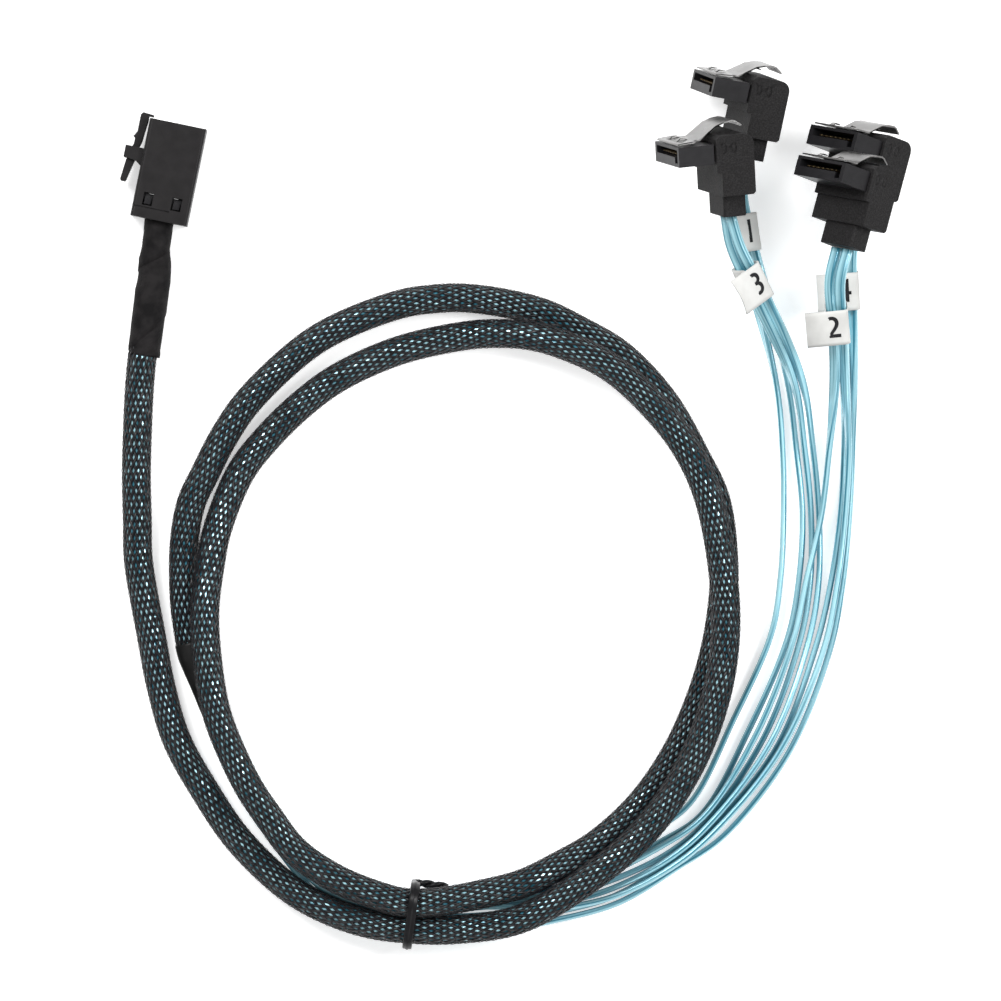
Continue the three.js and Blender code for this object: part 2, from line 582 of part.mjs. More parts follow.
// Two lobes side by side, on edge: tall in z, thin across.
function leadSection() {
  return ellipse(leadWidth, leadThick, 8);
}

function hostWrap() {
  return loft(wrapRings.map(([x, y, z, wide, high], i) => {
    const [xa, ya] = wrapRings[Math.max(i - 1, 0)];
    const [xb, yb] = wrapRings[Math.min(i + 1, wrapRings.length - 1)];
    const run = Math.hypot(xb - xa, yb - ya);
    const [sx, sy] = [(yb - ya) / run, -(xb - xa) / run];
    const ring = [];
    for (let j = 0; j < 12; j++) {
      const a = (j + 0.5) / 12 * 2 * Math.PI;
      const side = -wide / 2 * Math.cos(a);
      ring.push([x + sx * side, y + sy * side, z + high / 2 * Math.sin(a)]);
    }
    return ring;
  }));
}

// The smallest outline that holds every circle, as points going round.
function hullRound(circles, grow) {
  const points = [];
  for (const [x, z, r] of circles) {
    for (let i = 0; i < 24; i++) {
      const a = i / 24 * 2 * Math.PI;
      points.push([x + (r + grow) * Math.cos(a), z + (r + grow) * Math.sin(a)]);
    }
  }
  points.sort((p, q) => p[0] - q[0] || p[1] - q[1]);
  const turn = (o, p, q) => (p[0] - o[0]) * (q[1] - o[1]) - (p[1] - o[1]) * (q[0] - o[0]);
  const chain = (list) => list.reduce((kept, p) => {
    while (kept.length > 1 && turn(kept.at(-2), kept.at(-1), p) <= 1e-9) kept.pop();
    kept.push(p);
    return kept;
  }, []).slice(0, -1);
  return [...chain(points), ...chain(points.toReversed())];
}

// The tie: a ribbon round the bundle, its two ends twisted together beside the sleeve.
function tie() {
  const circles = tieRound.map(([side, z, r]) => [-side, z, r]);
  const ringShape = outline(hullRound(circles, gap + tieThick));
  ringShape.holes.push(new THREE.Path(
    hullRound(circles, gap).map(([u, v]) => new THREE.Vector2(u, v))));
  const ring = acrossX(ringShape, tieW);
  const rings = [];
  const turns = 14;
  for (let i = 0; i <= turns; i++) {
    const twist = i / turns * 2 * Math.PI;
    const ringPoints = [];
    for (let j = 0; j < 8; j++) {
      const a = (j + 0.5) / 8 * 2 * Math.PI;
      const u = tailDia / 2 * Math.cos(a);
      const v = tailDia / 3.2 * Math.sin(a);
      ringPoints.push([i / turns * tailL, -tieTail[0] + u * Math.cos(twist) - v * Math.sin(twist),
        tieTail[1] + u * Math.sin(twist) + v * Math.cos(twist)]);
    }
    rings.push(ringPoints);
  }
  return join(ring, loft(rings));
}

// A label: paper wrapped round both leads of a plug, its ends stuck together as a flag.
function label(first, second, back) {
  const a = first.getPointAt(1 - back / first.getLength());
  const b = second.getPointAt(1 - back / second.getLength());
  const along = first.getTangentAt(1 - back / first.getLength());
  const side = new THREE.Vector3(0, 0, 1).cross(along).normalize();
  const up = along.clone().cross(side);
  const apart = b.clone().sub(a);
  const inW = Math.abs(apart.dot(side)) / 2 + leadThick / 2 + labelSlack;
  const inH = Math.abs(apart.dot(up)) / 2 + leadWidth / 2 + labelSlack;
  const wrap = roundedRect(-inW - labelThick, inW + labelThick, -inH - labelThick, inH + labelThick, 0.8);
  const flag = roundedRect(inW + labelThick / 2, inW + labelFlag, inH - labelThick, inH + labelThick, 0.2);
  const hole = roundedRect(-inW, inW, -inH, inH, 0.5);
  const solid = cut(join(upright(wrap, -labelL / 2, labelL / 2, 2), upright(flag, -labelL / 2, labelL / 2, 1)),
    upright(hole, -labelL, labelL, 2));
  const place = new THREE.Matrix4().makeBasis(side, up, along);
  place.setPosition(a.clone().add(b).multiplyScalar(0.5));
  return solid.applyMatrix4(place);
}

hostPlug();
plugs.forEach(sataPlug);

part(group, 'host_wrap', hostWrap(), cloth);
part(group, 'sleeve', alongRoute(sleeveRoute, ellipse(sleeveDia, sleeveDia, 10), sleeveSteps), braid);
part(group, 'sleeve_end_shrink',
  alongRoute(shrinkRoute, ellipse(shrinkDia, shrinkDia, 10), 8), cloth);

const leadCurves = leadStations[0].side.map((_, k) => curveOf(leadPoints(k)));
leadCurves.forEach((curve, k) => {
  const geometry = new THREE.ExtrudeGeometry(leadSection(), {
    steps: leadSteps, extrudePath: curve, bevelEnabled: false,
  });
  part(group, `lead_${k + 1}`, geometry, lead);
});

plugs.forEach(({ leads: [i, j] }, n) => {
  part(group, `label_${n + 1}`, label(leadCurves[i], leadCurves[j], labelBack[n]), paper);
});

const tieMesh = part(group, 'tie', tie(), plastic);
tieMesh.position.set(tiePlace.at[0], tiePlace.at[1], 0);
tieMesh.rotation.z = tiePlace.heading * deg;

group.position.set(-frameOrigin[0], -frameOrigin[1], 0);
group.updateMatrixWorld(true);

export default group;
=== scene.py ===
import bpy
import json
import math
from mathutils import Matrix, Vector


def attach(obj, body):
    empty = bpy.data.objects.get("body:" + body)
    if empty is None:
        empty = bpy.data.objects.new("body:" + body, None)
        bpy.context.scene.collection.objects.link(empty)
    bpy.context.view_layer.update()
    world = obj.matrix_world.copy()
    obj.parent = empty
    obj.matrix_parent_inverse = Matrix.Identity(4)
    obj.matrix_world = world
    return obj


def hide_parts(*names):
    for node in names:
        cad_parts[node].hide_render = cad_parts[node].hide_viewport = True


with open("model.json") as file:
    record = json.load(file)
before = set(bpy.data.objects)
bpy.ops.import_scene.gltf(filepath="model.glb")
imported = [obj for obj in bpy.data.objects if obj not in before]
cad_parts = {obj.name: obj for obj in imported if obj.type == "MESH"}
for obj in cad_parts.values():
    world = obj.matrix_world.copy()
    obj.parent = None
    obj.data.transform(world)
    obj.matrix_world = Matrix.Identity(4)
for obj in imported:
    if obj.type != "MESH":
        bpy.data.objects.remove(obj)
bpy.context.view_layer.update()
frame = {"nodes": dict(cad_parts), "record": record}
bpy.context.scene.view_settings.view_transform = "Standard"
mm = 0.001
root = "cable"
splineSteps = 16  # between two points of a route
mergeWithin = 0.000004  # corners this close are one

# Camera: straight down on the cable from far off, so that heights hardly shift anything
cameraLook = {"centre": (-3.0, -68.62), "plane": 6.0, "viewWidth": 200.2, "away": 3000.0, "sensor": 36.0}


def addCamera():
    data = bpy.data.cameras.new("camera")
    data.sensor_width = cameraLook["sensor"]
    data.lens = cameraLook["sensor"] * cameraLook["away"] / cameraLook["viewWidth"]
    data.clip_start = 0.1
    data.clip_end = 20
    camera = bpy.data.objects.new("camera", data)
    x, y = cameraLook["centre"]
    camera.location = Vector((x, y, cameraLook["plane"] + cameraLook["away"])) * mm
    bpy.context.scene.collection.objects.link(camera)
    bpy.context.scene.camera = camera


addCamera()
print("camera placed")

# Routes, in millimetres as laid out on the floor. The frame's origin is the plugs' middle.
frameOrigin = Vector((0.3, 0.42, 0))
sleeveRoute = [
    (-74.4, -39.5, 3.6), (-75.0, -45.9, 3.1), (-75.4, -54.7, 3.1), (-75.6, -63.5, 3.1),
    (-75.4, -72.3, 3.1), (-75.2, -80.1, 3.1), (-72.6, -95.3, 3.1), (-70.6, -105.7, 3.1),
    (-67.6, -115.9, 3.1), (-62.0, -126.1, 3.1), (-55.0, -136.3, 3.1), (-44.8, -145.9, 4.1),
    (-36.8, -150.3, 5.9), (-28.8, -152.9, 6.4), (-20.8, -153.9, 7.1), (-12.0, -154.0, 7.3),
    (1.6, -151.7, 8.5), (17.8, -141.7, 8.6), (27.2, -133.1, 8.8), (35.2, -121.1, 9.4),
    (40.2, -108.1, 9.5), (42.2, -96.1, 9.5), (41.8, -83.1, 9.5), (39.0, -68.1, 9.5),
    (35.2, -59.1, 9.5), (30.0, -51.7, 9.5), (19.8, -42.0, 9.2), (9.8, -37.1, 8.3),
    (2.8, -35.2, 6.7), (-3.6, -34.8, 4.9), (-9.6, -35.2, 3.6), (-22.8, -38.1, 3.1),
    (-35.0, -43.5, 3.1), (-42.2, -48.7, 3.1), (-49.4, -55.7, 3.1), (-54.8, -62.7, 3.3),
    (-59.4, -74.1, 4.8), (-60.6, -80.1, 6.2), (-61.8, -90.3, 8.2), (-61.2, -100.5, 9.1),
    (-59.4, -110.7, 9.5), (-55.8, -119.9, 9.6), (-52.6, -126.1, 9.5), (-49.2, -131.1, 9.4),
    (-43.8, -138.1, 9.3), (-35.6, -143.7, 9.6), (-26.6, -147.3, 10.2), (-21.6, -148.5, 10.2),
    (-14.8, -148.3, 10.0), (-6.8, -146.9, 9.0), (1.6, -144.8, 7.4), (9.2, -141.2, 5.0),
    (16.8, -136.8, 3.5), (25.2, -129.1, 3.1), (32.2, -119.1, 3.1), (37.2, -108.1, 3.1),
    (40.2, -98.1, 3.1), (41.8, -88.1, 3.1), (42.0, -80.1, 3.1), (40.4, -68.1, 3.1),
    (36.4, -59.5, 3.1), (30.0, -48.3, 3.1), (21.4, -39.1, 3.1), (13.4, -34.3, 3.1),
    (4.8, -30.3, 3.1), (-9.0, -27.7, 3.1), (-16.8, -27.9, 3.1), (-22.8, -28.9, 3.1),
    (-35.0, -33.5, 3.1), (-42.2, -37.9, 3.1), (-53.0, -48.1, 3.1), (-58.0, -55.3, 3.1),
    (-61.8, -62.7, 3.1), (-64.6, -68.7, 3.1), (-66.0, -76.7, 3.1), (-66.0, -88.1, 3.1),
    (-65.2, -94.5, 3.1),
]
shrinkRoute = [
    (-65.2, -95.6, 3.1), (-64.0, -99.7, 3.1), (-62.2, -105.1, 3.1), (-60.0, -110.3, 3.2),
    (-57.8, -114.7, 3.3),
]
# The tape wrap: centre point, then width and height
wrapRings = [
    (-70.9, -11.6, 5.1, 5.9, 5.3), (-71.3, -14.6, 5.0, 5.6, 5.3), (-71.7, -17.6, 4.8, 5.5, 5.6),
    (-71.8, -20.2, 4.4, 6.4, 6.0), (-71.9, -23.0, 4.0, 6.5, 6.3), (-72.6, -27.0, 3.7, 6.7, 6.5),
    (-73.2, -32.3, 3.4, 6.5, 6.4), (-73.9, -37.6, 3.4, 6.3, 6.3), (-74.1, -39.2, 3.4, 6.3, 6.3),
]
# Where each lead runs: a point and heading on the bundle's middle, each lead's distance to the
# outer side, each lead's height
leadStations = [
    ((-57.6, -115.2), -65, (-2.4, -0.8, 0.8, 2.4, -2.4, -0.8, 0.8, 2.4),
     (2.0, 2.0, 4.7, 4.7, 4.7, 4.7, 2.0, 2.0)),
    ((-54.8, -121.1), -62, (-2.4, -0.8, 0.8, 2.4, -2.4, -0.8, 0.8, 2.4),
     (1.4, 1.4, 4.2, 4.2, 4.2, 4.2, 1.4, 1.4)),
    ((-47.4, -132.9), -54, (-2.4, -0.8, 0.8, 2.4, -2.4, -0.8, 0.8, 2.4),
     (1.4, 1.4, 4.2, 4.2, 4.2, 4.2, 1.4, 1.4)),
    ((-35.8, -144.3), -33, (-3.4, -1.8, 0.0, 1.6, -3.2, -1.6, 2.1, 3.7),
     (1.5, 1.5, 4.3, 4.3, 4.4, 4.4, 1.4, 1.4)),
    ((-20.4, -150.3), -8, (-4.0, -2.4, -0.8, 0.8, -2.8, -1.2, 2.4, 4.0),
     (2.5, 2.5, 2.5, 2.5, 5.4, 5.4, 2.5, 2.5)),
    ((-11.8, -150.9), 2, (-4.2, -2.6, -1.0, 0.6, -3.0, -1.4, 2.2, 3.9),
     (1.6, 1.6, 1.6, 1.6, 4.5, 4.5, 1.6, 1.6)),
    ((-2.8, -150.1), 9, (-4.0, -2.4, -0.8, 0.8, -2.4, -0.6, 2.4, 4.1),
     (1.4, 1.4, 1.4, 1.4, 4.2, 4.2, 1.4, 1.4)),
    ((6.8, -147.3), 20, (-2.8, -1.2, 0.4, 2.0, -0.3, 2.7, 3.6, 5.2),
     (1.4, 1.4, 1.4, 1.4, 4.2, 4.2, 1.4, 1.4)),
    ((17.2, -142.5), 31, (-0.7, 0.9, 2.5, 4.1, 0.9, 5.7, 5.7, 7.3),
     (1.4, 1.4, 1.4, 2.6, 4.2, 4.2, 1.4, 1.4)),
    ((27.2, -135.3), 42, (-0.4, 2.2, 5.0, 6.0, 3.0, 7.7, 6.8, 8.5),
     (1.4, 1.4, 1.4, 4.2, 4.2, 4.2, 1.4, 1.4)),
    ((38.4, -131.9), 47, (-4.4, -1.2, 0.5, 1.2, -0.7, 3.0, 2.3, 5.0),
     (1.4, 1.4, 1.4, 4.2, 4.2, 4.2, 1.4, 1.4)),
    ((50.4, -116.1), 58, (-7.6, -3.9, -0.5, 1.1, -2.2, 3.6, 2.7, 5.3),
     (1.4, 1.4, 1.4, 4.0, 4.2, 4.2, 1.4, 1.4)),
    ((58.8, -97.1), 73, (-7.6, -4.2, -1.7, 0.0, -3.1, 3.3, 1.7, 4.6),
     (1.4, 1.4, 1.4, 1.4, 4.2, 4.2, 1.4, 1.4)),
    ((61.0, -84.9), 82, (-7.7, -4.0, -1.7, 0.0, -2.6, 3.7, 2.4, 4.8),
     (1.4, 1.4, 1.4, 1.4, 4.2, 4.2, 1.4, 1.4)),
    ((61.1, -71.1), 89, (-7.1, -3.3, -1.6, 0.0, 0.4, 5.2, 4.3, 6.1),
     (1.4, 1.4, 1.4, 1.4, 4.4, 4.2, 1.4, 1.4)),
    ((60.8, -58.1), 92, (-7.0, -4.2, -2.6, -0.9, 2.2, 6.1, 5.3, 7.0),
     (1.8, 1.8, 3.4, 3.4, 7.2, 7.0, 1.8, 1.8)),
    ((60.8, -44.1), 98, (-8.3, -6.0, -4.9, -3.2, 3.2, 5.2, 5.4, 7.1),
     (3.0, 3.2, 9.0, 9.0, 13.5, 13.5, 4.2, 4.2)),
]
leadEnds = [
    [(48.0, -26.5, 4.4), (45.3, -15.0, 5.2), (44.7, -5.2, 5.5), (45.8, 0.3, 6.0)],
    [(50.2, -26.2, 5.2), (47.2, -14.8, 6.6), (45.6, -5.7, 8.2), (46.8, -0.1, 8.7)],
    [(47.7, -27.2, 15.2), (43.3, -17.6, 18.4), (42.1, -11.3, 19.6)],
    [(49.6, -26.5, 15.8), (44.9, -17.4, 20.6), (43.1, -11.6, 22.3)],
    [(63.6, -34.3, 19.2), (62.8, -24.4, 23.4), (64.2, -17.9, 23.5)],
    [(65.4, -34.3, 19.6), (64.8, -24.4, 25.4), (66.3, -18.3, 25.5)],
    [(65.8, -28.0, 6.0), (65.5, -17.4, 7.8), (67.0, -11.4, 7.5)],
    [(67.6, -28.0, 6.3), (67.6, -17.8, 9.6), (69.1, -11.8, 9.5)],
]
# The two leads of each plug, and the label's distance from the boot
plugLeads = {1: (0, 1, 15), 2: (4, 5, 16), 3: (2, 3, 15), 4: (6, 7, 15)}


def inFrame(point):
    return (Vector(point[:3]) - frameOrigin) * mm


def smoothLine(points, spacing):
    # A centripetal spline through the points, as the CAD has it, then even steps along it
    before = 2 * points[0] - points[1]
    after = 2 * points[-1] - points[-2]
    padded = [before, *points, after]
    fine = []
    for i in range(1, len(padded) - 2):
        p0, p1, p2, p3 = padded[i - 1:i + 3]
        d0, d1, d2 = (math.sqrt((b - a).length) for a, b in ((p0, p1), (p1, p2), (p2, p3)))
        m1 = ((p1 - p0) / d0 - (p2 - p0) / (d0 + d1) + (p2 - p1) / d1) * d1
        m2 = ((p2 - p1) / d1 - (p3 - p1) / (d1 + d2) + (p3 - p2) / d2) * d1
        for k in range(splineSteps):
            t = k / splineSteps
            fine.append((2 * t**3 - 3 * t**2 + 1) * p1 + (t**3 - 2 * t**2 + t) * m1
                        + (3 * t**2 - 2 * t**3) * p2 + (t**3 - t**2) * m2)
    fine.append(points[-1])
    reach = [0.0]
    for a, b in zip(fine, fine[1:]):
        reach.append(reach[-1] + (b - a).length)
    count = max(2, round(reach[-1] / spacing))
    line = []
    at = 0
    for i in range(count + 1):
        want = reach[-1] * i / count
        while at < len(reach) - 2 and reach[at + 1] < want:
            at += 1
        share = (want - reach[at]) / (reach[at + 1] - reach[at])
        line.append(fine[at].lerp(fine[at + 1], min(1, share)))
    return line


def lineLength(line):
    return sum((b - a).length for a, b in zip(line, line[1:]))


def framesAlong(line):
    # At each point: the way on, the side away from it on the level, and upwards
    frames = []
    for i in range(len(line)):
        ahead = (line[min(i + 1, len(line) - 1)] - line[max(i - 1, 0)]).normalized()
        side = ahead.cross(Vector((0, 0, 1))).normalized()
        frames.append((ahead, side, side.cross(ahead)))
    return frames


def addMesh(name, corners, faces, uvs=None):
    mesh = bpy.data.meshes.new(name)
    mesh.from_pydata([tuple(c) for c in corners], [], faces)
    if uvs:
        layer = mesh.uv_layers.new(name="along")
        for polygon in mesh.polygons:
            for loop, index in zip(polygon.loop_indices, uvs[polygon.index]):
                layer.data[loop].uv = index
    mesh.shade_smooth()
    piece = bpy.data.objects.new(name, mesh)
    bpy.context.scene.collection.objects.link(piece)
    return piece


def sweep(name, line, sectionAt):
    # A skin along a line, closed at both ends. The map runs round in u and along in v, v in metres
    frames = framesAlong(line)
    corners = []
    run = [0.0]
    for a, b in zip(line, line[1:]):
        run.append(run[-1] + (b - a).length)
    for i, (point, (_, side, up)) in enumerate(zip(line, frames)):
        ring = sectionAt(run[i], run[-1])
        corners += [point + side * u + up * v for u, v in ring]
    count = len(corners) // len(line)
    faces = []
    uvs = []
    for i in range(len(line) - 1):
        for j in range(count):
            k = (j + 1) % count
            faces.append((i * count + j, i * count + k, (i + 1) * count + k, (i + 1) * count + j))
            u0, u1 = j / count, (j + 1) / count
            uvs.append(((u0, run[i]), (u1, run[i]), (u1, run[i + 1]), (u0, run[i + 1])))
    last = (len(line) - 1) * count
    for start, order in ((0, range(count - 1, -1, -1)), (last, range(count))):
        faces.append(tuple(start + j for j in order))
        uvs.append(tuple((j / count, run[0 if start == 0 else -1]) for j in order))
    return addMesh(name, corners, faces, uvs)


def finishPiece(piece, slotName, material, body=root, *nodes):
    piece.data.materials.clear()
    piece.data.materials.append(material)
    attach(piece, body)
    if nodes:
        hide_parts(*nodes)
    return piece


# Effects that more than one finish uses
def newGroup(name, inputs, outputs):
    group = bpy.data.node_groups.new(name, "ShaderNodeTree")
    for label, kind, value in inputs:
        socket = group.interface.new_socket(name=label, in_out="INPUT", socket_type="NodeSocket" + kind)
        socket.default_value = value
    for label, kind in outputs:
        group.interface.new_socket(name=label, in_out="OUTPUT", socket_type="NodeSocket" + kind)
    return group, group.nodes.new("NodeGroupInput"), group.nodes.new("NodeGroupOutput")


def mathNode(tree, operation, first, second=None):
    node = tree.nodes.new("ShaderNodeMath")
    node.operation = operation
    for socket, value in zip(node.inputs, (first, second)):
        if isinstance(value, bpy.types.NodeSocket):
            tree.links.new(value, socket)
        elif value is not None:
            socket.default_value = value
    return node.outputs[0]


def makeGrain():
    # Fine bumps of a textured mould, with a wider mottle
    group, given, result = newGroup(
        "mouldGrain", [("Grain", "Float", 2600.0), ("Mottle", "Float", 260.0)],
        [("Height", "Float"), ("Mottle", "Float")])
    where = group.nodes.new("ShaderNodeTexCoord").outputs["Object"]
    fine = group.nodes.new("ShaderNodeTexNoise")
    wide = group.nodes.new("ShaderNodeTexNoise")
    fine.inputs["Detail"].default_value = 3
    for node, label in ((fine, "Grain"), (wide, "Mottle")):
        group.links.new(where, node.inputs["Vector"])
        group.links.new(given.outputs[label], node.inputs["Scale"])
    group.links.new(fine.outputs["Fac"], result.inputs["Height"])
    group.links.new(wide.outputs["Fac"], result.inputs["Mottle"])
    return group


def makeStreaks():
    # Long streaks that follow a cord, from its own map: u runs round it and v along it in metres
    group, given, result = newGroup(
        "lengthwiseStreaks", [("Round", "Float", 9.0), ("Along", "Float", 40.0)], [("Streak", "Float")])
    where = group.nodes.new("ShaderNodeUVMap")
    where.uv_map = "along"
    parts = group.nodes.new("ShaderNodeSeparateXYZ")
    group.links.new(where.outputs["UV"], parts.inputs[0])
    stretched = group.nodes.new("ShaderNodeCombineXYZ")
    for k, label in ((0, "Round"), (1, "Along")):
        scaled = mathNode(group, "MULTIPLY", parts.outputs[k], given.outputs[label])
        group.links.new(scaled, stretched.inputs[k])
    noise = group.nodes.new("ShaderNodeTexNoise")
    noise.inputs["Scale"].default_value = 1.0
    noise.inputs["Detail"].default_value = 2
    group.links.new(stretched.outputs[0], noise.inputs["Vector"])
    group.links.new(noise.outputs["Fac"], result.inputs["Streak"])
    return group


def makeWeave():
    # Plain woven threads, over and under, from the piece's own map in turns and metres
    group, given, result = newGroup(
        "wovenThreads", [("Round", "Float", 60.0), ("Along", "Float", 3000.0)], [("Height", "Float")])
    where = group.nodes.new("ShaderNodeUVMap")
    where.uv_map = "along"
    parts = group.nodes.new("ShaderNodeSeparateXYZ")
    group.links.new(where.outputs["UV"], parts.inputs[0])
    waves = []
    for k, label in ((0, "Round"), (1, "Along")):
        turn = mathNode(group, "MULTIPLY", parts.outputs[k], given.outputs[label])
        waves.append(mathNode(group, "SINE", mathNode(group, "MULTIPLY", turn, 2 * math.pi)))
    crossed = mathNode(group, "MULTIPLY", waves[0], waves[1])
    group.links.new(mathNode(group, "MULTIPLY_ADD", crossed, 0.5), result.inputs["Height"])
    return group


grainGroup = makeGrain()
streakGroup = makeStreaks()
weaveGroup = makeWeave()


class Finish:
    # A material with its shader, and the few steps that every finish takes
    def __init__(self, name, colour, roughness, metallic=0.0, **extra):
        self.material = bpy.data.materials.new(name)
        self.material.use_nodes = True
        self.tree = self.material.node_tree
        self.shader = self.tree.nodes["Principled BSDF"]
        self.shader.inputs["Base Color"].default_value = (*colour, 1)
        self.shader.inputs["Roughness"].default_value = roughness
        self.shader.inputs["Metallic"].default_value = metallic
        for label, value in extra.items():
            self.shader.inputs[label.replace("_", " ")].default_value = value

    def group(self, group, **values):
        node = self.tree.nodes.new("ShaderNodeGroup")
        node.node_tree = group
        for label, value in values.items():
            node.inputs[label].default_value = value
        return node

    def colours(self, driver, low, high, start=0.35, end=0.65):
        ramp = self.tree.nodes.new("ShaderNodeValToRGB")
        ramp.color_ramp.elements[0].position = start
        ramp.color_ramp.elements[1].position = end
        ramp.color_ramp.elements[0].color = (*low, 1)
        ramp.color_ramp.elements[1].color = (*high, 1)
        self.tree.links.new(driver, ramp.inputs["Fac"])
        self.tree.links.new(ramp.outputs["Color"], self.shader.inputs["Base Color"])

    def roughens(self, driver, low, high):
        spread = self.tree.nodes.new("ShaderNodeMapRange")
        spread.inputs["To Min"].default_value = low
        spread.inputs["To Max"].default_value = high
        self.tree.links.new(driver, spread.inputs["Value"])
        self.tree.links.new(spread.outputs["Result"], self.shader.inputs["Roughness"])

    def bump(self, driver, depth, strength=1.0):
        node = self.tree.nodes.new("ShaderNodeBump")
        node.inputs["Distance"].default_value = depth
        node.inputs["Strength"].default_value = strength
        self.tree.links.new(driver, node.inputs["Height"])
        self.tree.links.new(node.outputs["Normal"], self.shader.inputs["Normal"])


def smoothPlastic(name, colour, roughness=0.42):
    finish = Finish(name, colour, roughness, Specular_IOR_Level=0.16)
    grain = finish.group(grainGroup, Grain=5200.0, Mottle=420.0)
    finish.bump(grain.outputs["Height"], 0.000012)
    lighter = tuple(c * 1.25 for c in colour)
    finish.colours(grain.outputs["Mottle"], colour, lighter)
    finish.roughens(grain.outputs["Mottle"], roughness - 0.06, roughness + 0.08)
    return finish.material


def grainedPlastic(name, colour):
    finish = Finish(name, colour, 0.62, Specular_IOR_Level=0.14)
    grain = finish.group(grainGroup, Grain=3400.0, Mottle=900.0)
    finish.bump(grain.outputs["Height"], 0.00007)
    darker = tuple(c * 0.7 for c in colour)
    lighter = tuple(c * 1.6 for c in colour)
    finish.colours(grain.outputs["Height"], darker, lighter, 0.38, 0.68)
    return finish.material


def brushedSteel():
    finish = Finish("latchSteel", (0.2, 0.197, 0.195), 0.3, 1.0)
    grain = finish.group(grainGroup, Grain=1900.0, Mottle=300.0)
    finish.bump(grain.outputs["Height"], 0.000006)
    finish.roughens(grain.outputs["Mottle"], 0.2, 0.4)
    return finish.material


def goldPlate():
    # Gold laid far darker than plate: painted shade, for contacts that sit in the dark of the plug's slot;
    # the paddle cards' pads take it too
    finish = Finish("goldContactsWithPaintedShade", (0.085, 0.062, 0.034), 0.4, 1.0)
    grain = finish.group(grainGroup, Grain=2400.0, Mottle=500.0)
    finish.roughens(grain.outputs["Mottle"], 0.34, 0.5)
    return finish.material


def boardLaminate():
    finish = Finish("circuitBoard", (0.02, 0.075, 0.035), 0.4)
    grain = finish.group(grainGroup, Grain=2600.0, Mottle=700.0)
    finish.colours(grain.outputs["Mottle"], (0.015, 0.055, 0.028), (0.03, 0.1, 0.045))
    return finish.material


def wovenTape():
    finish = Finish("clothTape", (0.011, 0.0095, 0.01), 0.72, Specular_IOR_Level=0.12)
    weave = finish.group(weaveGroup, Round=0.6, Along=2200.0)
    finish.bump(weave.outputs["Height"], 0.00009, 1.0)
    grain = finish.group(grainGroup, Grain=3000.0, Mottle=380.0)
    finish.colours(grain.outputs["Mottle"], (0.006, 0.0055, 0.006), (0.017, 0.0155, 0.016))
    return finish.material


def braidStrand():
    finish = Finish("braidStrand", (0.006, 0.006, 0.008), 0.3, Specular_IOR_Level=0.35)
    streak = finish.group(streakGroup, Round=5.0, Along=160.0)
    finish.colours(streak.outputs["Streak"], (0.003, 0.003, 0.004), (0.016, 0.016, 0.019))
    finish.roughens(streak.outputs["Streak"], 0.22, 0.4)
    finish.bump(streak.outputs["Streak"], 0.00006)
    return finish.material


def blueJacket(name, dark, light, roughness, along=28.0):
    finish = Finish(name, light, roughness, 0.25, Coat_Weight=0.6, Coat_Roughness=0.12)
    streak = finish.group(streakGroup, Round=11.0, Along=along)
    finish.colours(streak.outputs["Streak"], dark, light, 0.38, 0.56)
    finish.roughens(streak.outputs["Streak"], roughness + 0.12, roughness)
    finish.bump(streak.outputs["Streak"], 0.00003)
    return finish.material


def shrunkTube():
    finish = Finish("heatShrink", (0.008, 0.008, 0.008), 0.45, Specular_IOR_Level=0.25)
    grain = finish.group(grainGroup, Grain=900.0, Mottle=300.0)
    finish.bump(grain.outputs["Mottle"], 0.0002, 0.6)
    finish.colours(grain.outputs["Mottle"], (0.006, 0.006, 0.006), (0.012, 0.012, 0.012))
    return finish.material


def labelStock():
    finish = Finish("labelPaper", (0.68, 0.68, 0.66), 0.6)
    grain = finish.group(grainGroup, Grain=2200.0, Mottle=260.0)
    finish.bump(grain.outputs["Height"], 0.00001)
    finish.colours(grain.outputs["Mottle"], (0.62, 0.62, 0.6), (0.7, 0.7, 0.68))
    return finish.material


# Black for the printed digits, also laid on the ovals' groove floors as painted shade
def printedInk():
    finish = Finish("labelInkAndGrooveShade", (0.01, 0.01, 0.012), 0.55, Specular_IOR_Level=0.2)
    grain = finish.group(grainGroup, Grain=5000.0, Mottle=800.0)
    finish.colours(grain.outputs["Height"], (0.006, 0.006, 0.008), (0.02, 0.02, 0.022))
    return finish.material


coverPlastic = smoothPlastic("coverPlastic", (0.013, 0.012, 0.0125))
nosePlastic = smoothPlastic("nosePlastic", (0.013, 0.0125, 0.014), 0.34)
overmouldPlastic = grainedPlastic("overmouldPlastic", (0.015, 0.0143, 0.0147))
tiePlastic = smoothPlastic("tiePlastic", (0.01, 0.01, 0.011), 0.3)
latchSteel = brushedSteel()
contactGoldWithPaintedShade = goldPlate()
cardBoard = boardLaminate()
tapeCloth = wovenTape()
strandBlack = braidStrand()
jacketBlue = blueJacket("jacketBlue", (0.035, 0.22, 0.31), (0.42, 0.76, 0.86), 0.2)
coreBlue = blueJacket("coreBlue", (0.04, 0.21, 0.29), (0.5, 0.86, 0.96), 0.16, 90.0)
shrinkBlack = shrunkTube()
paperWhite = labelStock()
inkAndShadeBlack = printedInk()
print("finishes made")


# The sleeve: eight bundled leads under an open braid of flat strands
sleeveLook = {"diameter": 6.0, "strands": 16, "cell": 2.7, "strandWidth": 0.58, "strandTop": 0.1,
              "weaveDepth": 0.12, "coreLobes": 8, "coreRadius": 2.4, "lobeHeight": 0.28, "coreTwist": 130.0,
              "lobeSteps": 5, "cordStep": 3.0, "coreStep": 2.0, "stepsPerCell": 4}


